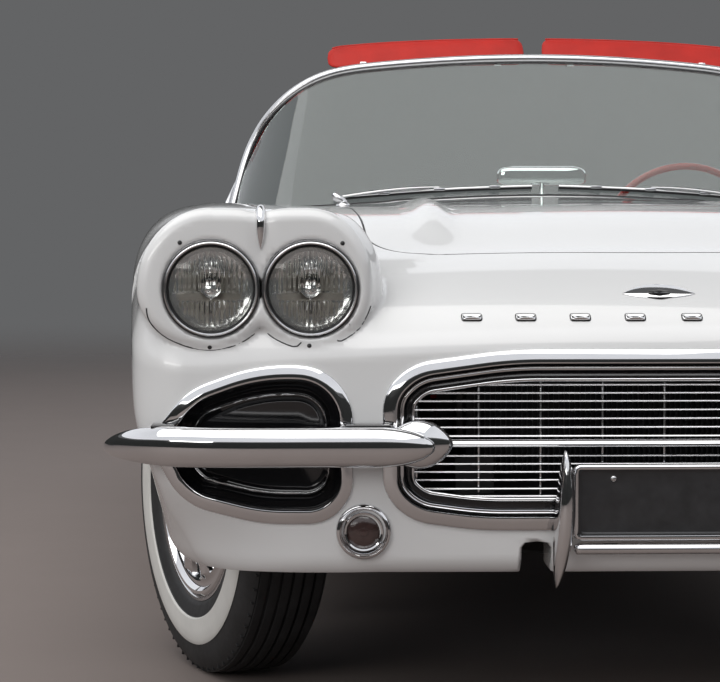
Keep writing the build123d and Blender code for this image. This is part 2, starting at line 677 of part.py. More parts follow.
def parking_lamp():
    x, z = PARK_LAMP
    bezel = rod((x, NOSE_Y - 12, z), (x, NOSE_Y - SEAT_FIT, z), PARK_LAMP_RADIUS)
    can = rod((x, NOSE_Y - 4, z), (x, NOSE_Y + 40, z), PARK_LAMP_RADIUS - 10)
    lens = rod((x, NOSE_Y - 16, z), (x, NOSE_Y - 10, z), PARK_LAMP_RADIUS - 13)
    return bezel + can + lens


# Windscreen and cockpit

SCREEN_BASE = ([(-760, -385), (-694, -572), (0, -630), (694, -572), (760, -385)], [215, 2500, 215])
SCREEN_TOP = ([(-644, -94), (-563, -256), (0, -300), (563, -256), (644, -94)], [190, 2500, 190])
SCREEN_LOW_Z = 850.0
SCREEN_HIGH_Z = 1345.0


def screen_band(thickness):
    faces = []
    for (points, radii), z in ((SCREEN_BASE, SCREEN_LOW_Z), (SCREEN_TOP, SCREEN_HIGH_Z)):
        loop, rounds = band_loop(points, radii, thickness)
        faces.append(loop_face([(x, y, z) for x, y in loop], rounds))
    return loft(faces, ruled=True)


def screen_loop(inset=0.0):
    points = [(764, 800), (738, 990), (612, 1244), (0, 1305), (-612, 1244), (-738, 990), (-764, 800)]
    radii = [0, 320, 300, 4000, 300, 320, 0]
    if inset:
        points, radii = inset_loop(points, radii, inset)
        radii = [0] + radii[1:-1] + [0]
    return points, radii


def windscreen(skin):
    pane = screen_band(6) & front_prism(*screen_loop(20), -800, 100)
    frame = screen_band(26) & front_prism(*screen_loop(), -800, 100)
    frame -= front_prism(*screen_loop(24), -801, 101)
    slot = screen_band(6 + 2 * SEAT_FIT) & front_prism(*screen_loop(20 - SEAT_FIT), -800, 100)
    return frame - slot - skin, pane - skin


def dashboard():
    face = [(COWL_REAR_Y + SEAT_FIT, 700), (COWL_REAR_Y + 60, 712), (COWL_REAR_Y + 96, 866), (COWL_REAR_Y + SEAT_FIT, 880)]
    dash = side_prism(face, [10, 20, 30, 4], -DOOR_INNER_X + 8, DOOR_INNER_X - 8)
    cluster = rod((395, COWL_REAR_Y + 30, 792), (395, COWL_REAR_Y + 120, 804), 96)
    dash += cluster & block(200, 600, COWL_REAR_Y + 1, COWL_REAR_Y + 130, 740, 1000)
    return dash - rod(along_column(-600), along_column(0), COLUMN_RADIUS + SEAT_FIT)


def along_column(distance):
    a = math.radians(STEERING_TILT)
    x, y, z = STEERING_HUB
    return (x, y + distance * math.cos(a), z + distance * math.sin(a))


def steering_column():
    return rod(along_column(-560), along_column(-37 - SEAT_FIT), COLUMN_RADIUS)


def steering_wheel():
    a = math.radians(STEERING_TILT)
    place = Plane(origin=STEERING_HUB, x_dir=(1, 0, 0), z_dir=(0, math.cos(a), math.sin(a)))
    rim = Torus(STEERING_WHEEL_RADIUS - 9, 9)
    hub = Pos(0, 0, -20) * Cylinder(38, 34) + Pos(0, 0, -4) * Cylinder(52, 12)
    spokes = [Rot(0, 0, angle) * Pos(115, 0, -6) * Box(156, 26, 6) for angle in (0, 180, 270)]
    return place * joined([rim, hub] + spokes)


def seat(side):
    x0, x1 = side * SEAT_X - SEAT_WIDTH / 2, side * SEAT_X + SEAT_WIDTH / 2
    cushion = [(-95, 395), (330, 395), (330, 490), (-95, 545)]
    base = side_prism(cushion, [20, 20, 40, 60], x0, x1)
    back = [(285, 440), (420, 440), (520, 880), (430, 900)]
    rest = side_prism(back, [20, 20, 40, 40], x0 + 10, x1 - 10)
    legs = block(x0 + 40, x1 - 40, -40, 300, FLOOR_Z + FLOOR_THICKNESS, 400)
    return base + rest + legs


def visors():
    """Padded visors folded up behind the windscreen's top rail."""
    behind = 26 + 2 * SEAT_FIT
    slab = (screen_band(behind + 28) - screen_band(behind)) & block(-600, 600, -420, 100, 1200, 1400)
    slab = slab.solids().sort_by(Axis.Y)[-1]
    shape = front_prism([(24, 1262), (505, 1254), (500, 1328), (24, 1332)], [14] * 4, -500, 0)
    return both(slab & shape)


def mirror_body(skin):
    stalk = rod((0, -500, 900), (0, -478, 968), 6)
    head = front_prism([(-106, 962), (106, 962), (98, 1008), (-98, 1008)], [20] * 4, -494, -470)
    foot = rod((0, -502, 900), (0, -502, 926), 22)
    return stalk + head + foot - skin


def wiper(skin):
    post = rod((480, -648, 880), (480, -656, 936), 11)
    arm = rod((480, -656, 930), (190, -668, 950), 6)
    blade = rod((350, -670, 946), (30, -676, 960), 5)
    return post + arm + blade - skin


def vent_window(skin):
    """The fixed quarter light on the front of the left door, in its bright frame, behind the screen's pillar."""
    points = [(-328, 880), (-152, 880), (-152, 1120), (-238, 1120), (-238, 1030)]
    rounds = [6, 6, 16, 16, 60]
    frame = side_prism(points, rounds, -6, 6)
    hole, hole_rounds = inset_loop(points, rounds, 14)
    pane = side_prism(hole, hole_rounds, -2.5, 2.5)
    made = frame - side_prism(hole, hole_rounds, -10, 10) + pane
    return Pos(VENT_X, 0, 880) * Rot(0, -VENT_LEAN, 0) * Pos(0, 0, -880) * made - skin


# Rear trim


def tail_lamp(x):
    bezel = rod((x, TAIL_Y + SEAT_FIT, TAIL_LAMP_Z), (x, TAIL_Y + 12, TAIL_LAMP_Z), TAIL_LAMP_RADIUS)
    can = rod((x, TAIL_Y - 40, TAIL_LAMP_Z), (x, TAIL_Y + 4, TAIL_LAMP_Z), TAIL_LAMP_RADIUS - 10)
    lens = Pos(x, TAIL_Y - 30, TAIL_LAMP_Z) * Sphere(60) & block(x - 60, x + 60, TAIL_Y + 2, TAIL_Y + 40, 0, 1000)
    return bezel + can + lens


def rear_bumper(clear):
    z = REAR_BUMPER_Z
    path = FilletPolyline([(300, 2228, z), (700, 2224, z), (836, 2110, z), (858, 1960, z)], radius=[150, 130])
    section = Plane(origin=path @ 0, x_dir=(0, 0, 1), z_dir=path % 0) * RectangleRounded(66, 32, 15)
    blade = sweep(section, path=path, transition=Transition.ROUND)
    bracket = block(520, 580, TAIL_Y + SEAT_FIT, 2216, z - 13, z + 13)
    return blade - clear + bracket


def rear_plate():
    y0 = TAIL_Y + SEAT_FIT
    panel = block(-200, 200, y0, y0 + 20, 380, 540) - block(-182, 182, y0 + 8, y0 + 30, 396, 524)
    for x in (-PLATE_BOLT_SPACING / 2, PLATE_BOLT_SPACING / 2):
        panel -= rod((x, y0 - 5, 500), (x, y0 + 30, 500), PLATE_HOLE_RADIUS)
    return panel


# Assembly


def all_nodes():
    outer = body_solid()
    inner = body_solid(WALL, sink=80)
    shell = outer - inner - arch_cut(FRONT_AXLE_Y, FRONT_ARCH_RADIUS) - arch_cut(REAR_AXLE_Y, REAR_ARCH_RADIUS)
    fender, nose = front_panels(shell, outer)
    quarter, tail = rear_panels(shell, outer)
    left_door = door(outer)
    skin = body_solid(-SEAT_FIT) & block(-1000, 1000, -720, -150, 800, 1100)
    frame, pane = windscreen(skin)
    quarter_light = vent_window(skin)
    left_sill = sill(outer)
    proud = body_solid(-6)
    proud_nose = proud & block(0, 1000, -2300, -1900, 0, 1000)
    proud_tail = proud & block(0, 1000, 1900, 2300, 0, 1000)
    lid_inner = body_solid(LID_THICKNESS)
    under = body_solid(LID_THICKNESS + SEAT_FIT)
    nodes = {
        "frame": ladder_frame(),
        "engine": engine(),
        "floor_pan": floor_pan(),
        "bulkheads": bulkheads(outer),
        "sills": both(left_sill),
        "fender_left": fender,
        "fender_right": other_side(fender),
        "nose_panel": nose,
        "cowl_panel": cowl_panel(shell),
        "quarter_left": quarter,
        "quarter_right": other_side(quarter),
        "tail_panel": tail,
        "trunk_floor": trunk_floor(),
        "grille_surround": grille_surround(),
        "grille": grille(),
        "scoop_trims": both(scoop_ring(proud_nose - inner)),
        "scoop_bowls": both(scoop_bowl(outer)),
        "front_bumpers": both(bumper_blade(proud_nose)),
        "front_guards": guards_and_frame(),
        "headlamps": [headlamp(s * x) for x in LAMP_X for s in (-1, 1)],
        "headlamp_rings": [lamp_ring(s * x) for x in LAMP_X for s in (-1, 1)],
        "parking_lamps": both(parking_lamp()),
        "windscreen_frame": frame,
        "windscreen": pane,
        "dashboard": dashboard(),
        "steering_column": steering_column(),
        "seats": [seat(s) for s in (-1, 1)],
        "sun_visors": visors(),
        "mirror": mirror_body(skin),
        "wipers": both(wiper(skin)),
        "rear_bumpers": both(rear_bumper(proud_tail)),
        "tail_lamps": [tail_lamp(s * x) for x in TAIL_LAMP_X for s in (-1, 1)],
        "rear_plate": rear_plate(),
        "exhaust": exhaust(),
        "front_suspension": front_suspension(),
        "rear_axle": rear_axle(),
        "leaf_springs": leaf_springs(),
        "knuckle_left": steer(knuckle(), 1),
        "knuckle_right": steer(other_side(knuckle()), -1),
        "lid_rests": rests(inner, under),
        "hood": lid(outer, lid_inner, HOOD_LINE),
        "top_lid": lid(outer, lid_inner, TOP_LID_LINE),
        "trunk_lid": lid(outer, lid_inner, TRUNK_LINE),
        "door_left": left_door,
        "door_right": other_side(left_door),
        "vent_window_left": quarter_light,
        "vent_window_right": other_side(quarter_light),
        "steering_wheel": steering_wheel(),
    }
    rubber, steel = tyre(), wheel() + wheel_cover()
    for side, name in ((1, "left"), (-1, "right")):
        nodes["tyre_front_" + name] = set_front(rubber, side)
        nodes["wheel_front_" + name] = set_front(steel, side)
        nodes["tyre_rear_" + name] = set_rear(rubber, side)
        nodes["wheel_rear_" + name] = set_rear(steel, side)
    return nodes


def write_parts():
    os.makedirs("parts", exist_ok=True)
    for name, shape in all_nodes().items():
        solids = [s for piece in (shape if isinstance(shape, list) else [shape]) for s in piece.solids()]
        export_step(Compound(children=solids) if len(solids) > 1 else solids[0], f"parts/{name}.step")


write_parts()
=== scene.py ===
import math

import bmesh
import bpy
import numpy as np
from mathutils import Matrix, Vector

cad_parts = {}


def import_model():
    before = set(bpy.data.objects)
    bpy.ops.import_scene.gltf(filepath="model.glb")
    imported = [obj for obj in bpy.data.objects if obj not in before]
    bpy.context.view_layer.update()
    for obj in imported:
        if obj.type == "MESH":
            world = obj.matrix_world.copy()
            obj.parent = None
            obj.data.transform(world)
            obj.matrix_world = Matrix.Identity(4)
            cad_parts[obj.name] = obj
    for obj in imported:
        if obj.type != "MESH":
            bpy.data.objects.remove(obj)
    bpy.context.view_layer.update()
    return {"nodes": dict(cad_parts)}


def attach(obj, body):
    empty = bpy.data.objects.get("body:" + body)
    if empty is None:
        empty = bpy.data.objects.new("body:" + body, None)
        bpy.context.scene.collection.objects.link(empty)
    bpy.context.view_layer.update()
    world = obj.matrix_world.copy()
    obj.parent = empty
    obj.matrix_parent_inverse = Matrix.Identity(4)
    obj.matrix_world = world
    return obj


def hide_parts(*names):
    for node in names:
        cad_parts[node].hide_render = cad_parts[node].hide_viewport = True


bl_info = {
    "name": "Open roadster, dressed",
    "version": (1, 0, 0),
    "blender": (4, 5, 0),
    "location": "3D View > Sidebar > Roadster",
    "description": "Panels, bright trim, lamps, wheels and cabin of an open roadster, round its CAD frame",
    "category": "Object",
}

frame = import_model()

# Lengths in the code are millimetres, with the car facing -Y, its left side at +X and Z up.
MM = 0.001


# Sizes and colours that a user would change


class RoadsterSizes(bpy.types.PropertyGroup):
    panel_gap: bpy.props.FloatProperty(
        name="Panel gap", description="Width of the gap between two body panels", default=0.0045,
        unit="LENGTH")
    panel_flange: bpy.props.FloatProperty(
        name="Panel flange", description="Depth of the turned-in edge of a panel", default=0.016,
        unit="LENGTH")
    trim_width: bpy.props.FloatProperty(
        name="Trim width", description="Width of the bright strip round the scoops", default=0.022,
        unit="LENGTH")
    bar_height: bpy.props.FloatProperty(
        name="Grille bar", description="Height of a thin grille bar", default=0.0042, unit="LENGTH")
    whitewall_inner: bpy.props.FloatProperty(
        name="Whitewall inside", description="Inner radius of the white band", default=0.237, unit="LENGTH")
    whitewall_outer: bpy.props.FloatProperty(
        name="Whitewall outside", description="Outer radius of the white band", default=0.288, unit="LENGTH")
    flutes: bpy.props.IntProperty(
        name="Lens flutes", description="Upright flutes across a headlamp lens", default=17, min=5, max=40)
    seat_pleats: bpy.props.IntProperty(
        name="Seat pleats", description="Sewn channels across a seat", default=8, min=3, max=16)


class RoadsterColours(bpy.types.PropertyGroup):
    paint: bpy.props.FloatVectorProperty(
        name="Paint", description="Body paint", subtype="COLOR", size=3, default=(0.70, 0.70, 0.70))
    trim: bpy.props.FloatVectorProperty(
        name="Trim", description="Vinyl of seats, visors and door cards", subtype="COLOR", size=3,
        default=(0.46, 0.014, 0.007))
    floor: bpy.props.FloatVectorProperty(
        name="Floor", description="Studio floor", subtype="COLOR", size=3, default=(0.20, 0.163, 0.148))
    backdrop: bpy.props.FloatVectorProperty(
        name="Backdrop", description="Plain background", subtype="COLOR", size=3,
        default=(0.125, 0.127, 0.13))


def sizes():
    return bpy.context.scene.roadster_sizes


def colours():
    return bpy.context.scene.roadster_colours


# Materials


class Shader:
    """Builds one node material: a Principled shader with noise-driven colour, roughness and bump."""

    def __init__(self, name, colour, rough=0.5, metal=0.0, **sockets):
        self.material = bpy.data.materials.new(name)
        self.material.use_nodes = True
        self.tree = self.material.node_tree
        self.surface = self.tree.nodes["Principled BSDF"]
        self.surface.inputs["Base Color"].default_value = (*colour, 1)
        self.surface.inputs["Roughness"].default_value = rough
        self.surface.inputs["Metallic"].default_value = metal
        for key, value in sockets.items():
            self.surface.inputs[key.replace("_", " ")].default_value = value
        self.colour = colour
        self.rough = rough
        self.height = None

    def node(self, kind, **values):
        made = self.tree.nodes.new("ShaderNode" + kind)
        for key, value in values.items():
            if hasattr(made, key):
                setattr(made, key, value)
            else:
                made.inputs[key.replace("_", " ")].default_value = value
        return made

    def link(self, source, target):
        self.tree.links.new(source, target)

    def noise(self, scale, detail=4.0, rough=0.6, stretch=(1, 1, 1)):
        place = self.node("TexCoord")
        mapping = self.node("Mapping", Scale=stretch)
        made = self.node("TexNoise", Scale=scale, Detail=detail, Roughness=rough)
        self.link(place.outputs["Object"], mapping.inputs["Vector"])
        self.link(mapping.outputs["Vector"], made.inputs["Vector"])
        return made.outputs["Fac"]

    def ramp(self, source, low, high, colour_low, colour_high):
        made = self.node("ValToRGB")
        made.color_ramp.elements[0].position = low
        made.color_ramp.elements[1].position = high
        made.color_ramp.elements[0].color = (*colour_low, 1)
        made.color_ramp.elements[1].color = (*colour_high, 1)
        self.link(source, made.inputs["Fac"])
        return made.outputs["Color"]

    def mottle(self, scale, amount):
        """Varies the colour a little from place to place."""
        dark = [max(c * (1 - amount), 0) for c in self.colour]
        light = [min(c * (1 + amount), 1) for c in self.colour]
        self.link(self.ramp(self.noise(scale), 0.3, 0.7, dark, light),
                  self.surface.inputs["Base Color"])
        return self

    def wear(self, scale, amount, stretch=(1, 1, 1)):
        """Varies the roughness, as wiping, dust and fine scratches do."""
        made = self.node("MapRange")
        made.inputs["To Min"].default_value = max(self.rough - amount, 0.01)
        made.inputs["To Max"].default_value = self.rough + amount
        self.link(self.noise(scale, 6, 0.7, stretch), made.inputs["Value"])
        self.link(made.outputs["Result"], self.surface.inputs["Roughness"])
        return self

    def bump(self, source, strength, distance=0.001):
        made = self.node("Bump", Strength=strength, Distance=distance)
        self.link(source, made.inputs["Height"])
        if self.height:
            self.link(self.height, made.inputs["Normal"])
        self.height = made.outputs["Normal"]
        self.link(self.height, self.surface.inputs["Normal"])
        return self

    def grain(self, scale, strength, stretch=(1, 1, 1), distance=0.0006):
        return self.bump(self.noise(scale, 5, 0.55, stretch), strength, distance)

    def cells(self, scale, strength, distance=0.0006):
        place = self.node("TexCoord")
        made = self.node("TexVoronoi", Scale=scale)
        self.link(place.outputs["Object"], made.inputs["Vector"])
        return self.bump(made.outputs["Distance"], strength, distance)


FINISHES = {}


def finish_materials():
    """All the finishes of the car, by name."""
    white = colours().paint
    red = colours().trim
    make = {
        "body_paint": Shader("Body_enamel", white, 0.24, Coat_Weight=1.0, Coat_Roughness=0.03, Coat_IOR=1.5)
        .mottle(2.3, 0.018).wear(60, 0.05).grain(210, 0.05, distance=0.0002),
        "chrome": Shader("Bright_plate", (0.74, 0.74, 0.75), 0.045, 1.0)
        .mottle(7, 0.04).wear(38, 0.03, (1, 1, 3)).grain(90, 0.04, distance=0.0003),
        "brushed": Shader("Polished_stainless", (0.62, 0.62, 0.63), 0.2, 1.0)
        .mottle(9, 0.06).wear(240, 0.07, (0.1, 1, 1)).grain(500, 0.05, (0.08, 1, 1)),
        "gloss_black": Shader("Gloss_black", (0.006, 0.006, 0.007), 0.09, Coat_Weight=0.6,
                              Coat_Roughness=0.04)
        .mottle(14, 0.3).wear(70, 0.06).grain(160, 0.06),
        "satin_black": Shader("Satin_black", (0.012, 0.012, 0.013), 0.5)
        .mottle(20, 0.35).wear(90, 0.15).grain(420, 0.25),
        "undercoat": Shader("Undercoat", (0.014, 0.013, 0.013), 0.86)
        .mottle(11, 0.5).wear(40, 0.1).cells(260, 0.35),
        "rubber": Shader("Tyre_rubber", (0.018, 0.018, 0.019), 0.62)
        .mottle(18, 0.3).wear(50, 0.16).grain(520, 0.2),
        "whitewall": Shader("White_rubber", (0.66, 0.65, 0.62), 0.48)
        .mottle(16, 0.05).wear(40, 0.12).grain(620, 0.12),
        "vinyl": Shader("Red_vinyl", red, 0.55, Specular_IOR_Level=0.28)
        .mottle(10, 0.14).wear(50, 0.1).cells(1500, 0.22, 0.0003).grain(45, 0.12, distance=0.001),
        "dash_paint": Shader("Red_enamel", (red[0] * 0.9, red[1], red[2]), 0.25, Coat_Weight=0.7,
                             Coat_Roughness=0.08)
        .mottle(6, 0.08).wear(60, 0.06).grain(300, 0.06),
        "glass": Shader("Screen_glass", (0.83, 0.90, 0.88), 0.0, Transmission_Weight=1.0, IOR=1.45)
        .grain(3.5, 0.02, distance=0.0004),
        "lamp_glass": Shader("Lamp_glass", (0.97, 0.98, 0.98), 0.02, Transmission_Weight=1.0, IOR=1.46)
        .grain(240, 0.05),
        "smoked": Shader("Smoked_lens", (0.045, 0.026, 0.024), 0.12, Coat_Weight=0.8, Coat_Roughness=0.03)
        .mottle(30, 0.4).cells(420, 0.3),
        "red_lens": Shader("Red_lens", (0.42, 0.008, 0.008), 0.12, Coat_Weight=0.8, Coat_Roughness=0.03)
        .mottle(30, 0.2).cells(420, 0.35),
        "reflector": Shader("Reflector", (0.80, 0.80, 0.79), 0.12, 1.0)
        .mottle(30, 0.08).wear(60, 0.06).cells(95, 0.12, 0.0008),
        "cast": Shader("Cast_metal", (0.20, 0.20, 0.205), 0.55, 0.7)
        .mottle(12, 0.3).wear(40, 0.15).grain(240, 0.4),
        "engine_paint": Shader("Engine_enamel", (0.16, 0.17, 0.17), 0.45, 0.3)
        .mottle(9, 0.35).wear(30, 0.15).grain(180, 0.35),
        "chassis_black": Shader("Chassis_black", (0.02, 0.02, 0.021), 0.58)
        .mottle(8, 0.5).wear(30, 0.18).grain(160, 0.3),
        "steel": Shader("Worn_steel", (0.33, 0.32, 0.31), 0.42, 0.9)
        .mottle(14, 0.3).wear(60, 0.16).grain(260, 0.25),
        "carpet": Shader("Carpet", (0.10, 0.016, 0.012), 0.95, Sheen_Weight=0.3)
        .mottle(24, 0.3).cells(900, 0.8, 0.002),
        "dial": Shader("Dial_face", (0.02, 0.02, 0.02), 0.3).mottle(40, 0.3).wear(60, 0.1),
        "plate_black": Shader("Plate_black", (0.022, 0.022, 0.024), 0.38, Coat_Weight=0.3,
                              Coat_Roughness=0.15)
        .mottle(25, 0.25).wear(50, 0.14).grain(260, 0.12),
        "bulb": Shader("Bulb_amber", (0.85, 0.80, 0.72), 0.15, Coat_Weight=0.5).mottle(60, 0.1).grain(200,
                                                                                                      0.1),
    }
    FINISHES.update({name: shader.material for name, shader in make.items()})


# Meshes


def build(name, points, faces, finish, normals=None, finish_of=None, sharp=None):
    """A mesh object from points in millimetres. finish_of gives each face its place in a list of finishes."""
    mesh = bpy.data.meshes.new(name)
    mesh.from_pydata((np.asarray(points, float) * MM).tolist(), [], [list(map(int, f)) for f in faces])
    for key in [finish] if isinstance(finish, str) else finish:
        mesh.materials.append(FINISHES[key])
    if finish_of is not None:
        mesh.polygons.foreach_set("material_index", np.asarray(finish_of, np.int32))
    mesh.validate()
    mesh.polygons.foreach_set("use_smooth", np.ones(len(mesh.polygons), bool))
    if normals is not None:
        mesh.normals_split_custom_set_from_vertices(np.asarray(normals, float).tolist())
    elif sharp is not None:
        mesh.set_sharp_from_angle(angle=math.radians(sharp))
    made = bpy.data.objects.new(name, mesh)
    bpy.context.scene.collection.objects.link(made)
    return made


def fit(piece, body, slot, *nodes):
    """Fixes a piece to a body and hides the CAD nodes that it stands for; slot is not used."""
    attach(piece, body)
    if nodes:
        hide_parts(*nodes)
    return piece


class Stock:
    """Points and faces of one piece, gathered from simple forms, each with its finish."""

    def __init__(self):
        self.points = []
        self.faces = []
        self.finishes = []
        self.finish_of = []

    def add(self, points, faces, finish="chrome"):
        start = len(self.points)
        if finish not in self.finishes:
            self.finishes.append(finish)
        self.points.extend(np.asarray(points, float).tolist())
        self.faces.extend([[start + i for i in f] for f in faces])
        self.finish_of.extend([self.finishes.index(finish)] * len(faces))
        return self

    def rows(self, rows, finish="chrome", closed=True, caps=False, loop=False):
        """A skin through rows of points. closed joins each row's ends, loop joins last row to first."""
        rows = [np.asarray(r, float) for r in rows]
        n = len(rows[0])
        faces = []
        for i in range(len(rows) if loop else len(rows) - 1):
            k = (i + 1) % len(rows)
            for j in range(n if closed else n - 1):
                m = (j + 1) % n
                faces.append((i * n + j, i * n + m, k * n + m, k * n + j))
        if caps:
            faces.append(tuple(range(n))[::-1])
            last = (len(rows) - 1) * n
            faces.append(tuple(range(last, last + n)))
        return self.add(np.vstack(rows), faces, finish)

    def turned(self, profile, finish="chrome", steps=48, place=None):
        """Turns (radius, height) points about Z, then puts the result in place."""
        angles = ring_angles(steps)
        c, s = np.cos(angles), np.sin(angles)
        rows = [moved(np.column_stack([r * c, r * s, np.full(steps, h)]), place) for r, h in profile]
        return self.rows(rows, finish)

    def tube(self, path, radius, finish="chrome", sides=12, caps=True, flat=1.0, up=(0, 0, 1)):
        """A round or flattened bar along a path. radius is one number or one for each point."""
        path = np.asarray(path, float)
        radii = np.broadcast_to(np.asarray(radius, float), len(path))
        ahead = headings(path)
        side = unit(np.cross(ahead, up))
        top = np.cross(side, ahead)
        angles = ring_angles(sides)
        rows = [p + r * (np.outer(np.cos(angles), s) + flat * np.outer(np.sin(angles), t))
                for p, r, s, t in zip(path, radii, side, top)]
        return self.rows(rows, finish, caps=caps)

    def box(self, low, high, finish="chrome", radius=3.0, place=None, segments=2):
        """A block with rounded edges."""
        shape = bmesh.new()
        bmesh.ops.create_cube(shape, size=1.0)
        low, high = np.asarray(low, float), np.asarray(high, float)
        for v in shape.verts:
            v.co = Vector((low + high) / 2 + np.array(v.co) * (high - low))
        if radius:
            bmesh.ops.bevel(shape, geom=shape.edges[:], offset=radius, segments=segments, profile=0.5,
                            affect="EDGES")
        shape.verts.index_update()
        points = moved(np.array([v.co for v in shape.verts]), place)
        faces = [[v.index for v in f.verts] for f in shape.faces]
        shape.free()
        return self.add(points, faces, finish)

    def mirrored(self):
        """Adds the same forms on the other side of the car."""
        count = len(self.points)
        self.points.extend([[-x, y, z] for x, y, z in self.points])
        self.faces.extend([[count + i for i in f][::-1] for f in list(self.faces)])
        self.finish_of.extend(list(self.finish_of))
        return self

    def moved_over(self):
        """Puts the forms on the other side of the car."""
        self.points = [[-x, y, z] for x, y, z in self.points]
        self.faces = [f[::-1] for f in self.faces]
        return self

    def take(self, other):
        """Adds the forms of another stock that has one finish."""
        return self.add(other.points, other.faces, other.finishes[0])

    def piece(self, name, body, slot, *nodes, sharp=40.0):
        made = build(name, self.points, self.faces, self.finishes, finish_of=self.finish_of, sharp=sharp)
        return fit(made, body, slot, *nodes)


AHEAD, BEHIND, LEFT, RIGHT = (0, -1, 0), (0, 1, 0), (1, 0, 0), (-1, 0, 0)
SIDES = (("left", 1), ("right", -1))


def moved(points, place):
    if place is None:
        return np.asarray(points, float)
    matrix = np.array(place)
    return np.asarray(points, float) @ matrix[:3, :3].T + matrix[:3, 3]


def towards(direction, origin):
    """A placing that turns Z to a direction, with Y as near to up as it can be."""
    z = Vector(direction).normalized()
    x = Vector((0, 0, 1)).cross(z)
    x = x.normalized() if x.length > 1e-6 else Vector((1, 0, 0))
    y = z.cross(x)
    return Matrix.Translation(Vector(origin)) @ Matrix((x, y, z)).transposed().to_4x4()


def rotated(degrees, axis="Z"):
    return Matrix.Rotation(math.radians(degrees), 4, axis)


def shifted(x, y, z):
    return Matrix.Translation((x, y, z))


def unit(rows):
    """Each row scaled to length one."""
    return rows / np.linalg.norm(rows, axis=1)[:, None]


def headings(path):
    """The direction along a path at each of its points."""
    return unit(np.gradient(path, axis=0))


def lengths(path):
    """How far each point of a path lies along it from its start."""
    return np.r_[0, np.cumsum(np.linalg.norm(np.diff(path, axis=0), axis=1))]


def ring_angles(count):
    return np.radians(np.arange(count) * 360.0 / count)


def signed_power(value, power):
    return np.sign(value) * np.abs(value) ** power


def smooth(low, high, value):
    t = np.clip((value - low) / (high - low), 0, 1)
    return t * t * (3 - 2 * t)


def band(value, start, full, fall, end):
    """One between full and fall, zero before start and after end, smooth in between."""
    return smooth(start, full, value) * (1 - smooth(fall, end, value))


def hermite(a, b, slope_a, slope_b, t):
    return (a * (2 * t**3 - 3 * t**2 + 1) + slope_a * (t**3 - 2 * t**2 + t)
            + b * (3 * t**2 - 2 * t**3) + slope_b * (t**3 - t**2))


def curve(knots, count):
    """A smooth line of count points through a few knots."""
    knots = np.asarray(knots, float)
    at = np.linspace(0, len(knots) - 1, count)
    i = np.clip(at.astype(int), 0, len(knots) - 2)
    slope = np.gradient(knots, axis=0)
    return hermite(knots[i], knots[i + 1], slope[i], slope[i + 1], (at - i)[:, None])


def corner(p, a, b, radius, steps):
    """The arc that rounds the corner at p, on the way from a to b."""
    u, v = (a - p) / np.linalg.norm(a - p), (b - p) / np.linalg.norm(b - p)
    half = math.acos(float(np.clip(u @ v, -1, 1))) / 2
    cut = radius / math.tan(half)
    middle = p + (u + v) / np.linalg.norm(u + v) * radius / math.sin(half)
    s, e = p + u * cut - middle, p + v * cut - middle
    sweep = math.atan2(s[0] * e[1] - s[1] * e[0], s @ e)
    return [middle + (math.cos(t) * s[0] - math.sin(t) * s[1], math.sin(t) * s[0] + math.cos(t) * s[1])
            for t in np.linspace(0, sweep, steps + 1)]


def rounded(points, radii, steps=10):
    """A closed outline with its corners rounded, as a fine polygon."""
    points = [np.array(p, float) for p in points]
    line = []
    for i, (p, radius) in enumerate(zip(points, radii)):
        line += corner(p, points[i - 1], points[(i + 1) % len(points)], radius, steps)
    return np.array(line)


def open_line(points, radii, count=14):
    """An open line with rounded corners, with the same number of points on each run and arc."""
    points = [np.array(p, float) for p in points]
    line, start = [], points[0]
    for p, a, b, radius in zip(points[1:-1], points, points[2:], radii):
        arc = corner(p, a, b, radius, count)
        line += [start + (arc[0] - start) * t for t in np.linspace(0, 1, count + 1)] + arc[1:-1]
        start = arc[-1]
    return np.array(line + [start + (points[-1] - start) * t for t in np.linspace(0, 1, count + 1)])


def rectangle(x0, x1, z0, z1, radius, step, steps=10):
    """A closed rectangle with rounded corners and points at even steps."""
    return even(rounded([(x0, z0), (x1, z0), (x1, z1), (x0, z1)], [radius] * 4, steps), step)


def even(line, step):
    """The same closed outline with points at even steps."""
    line = np.vstack([line, line[:1]])
    length = lengths(line)
    keep = np.r_[True, np.diff(length) > 1e-6]
    at = np.linspace(0, length[-1], max(int(length[-1] / step), 12), endpoint=False)
    return np.column_stack([np.interp(at, length[keep], line[keep, k]) for k in (0, 1)])


def outward(line):
    """Unit normals that point out of a closed counter-clockwise outline."""
    along = unit(np.roll(line, -1, axis=0) - np.roll(line, 1, axis=0))
    return np.column_stack([along[:, 1], -along[:, 0]])


def distance_to(line, points):
    """Signed distance from 2D points to a closed outline, less than zero inside it."""
    best = np.full(len(points), np.inf)
    inside = np.zeros(len(points), bool)
    x, y = points[:, 0], points[:, 1]
    for a, b in zip(line, np.roll(line, -1, axis=0)):
        d = b - a
        t = np.clip(((x - a[0]) * d[0] + (y - a[1]) * d[1]) / max(d @ d, 1e-12), 0, 1)
        best = np.minimum(best, np.hypot(x - a[0] - t * d[0], y - a[1] - t * d[1]))
        if a[1] != b[1]:
            crosses = (y < a[1]) != (y < b[1])
            inside ^= crosses & (x < a[0] + (y - a[1]) * d[0] / d[1])
    return np.where(inside, -best, best)


# Body shape

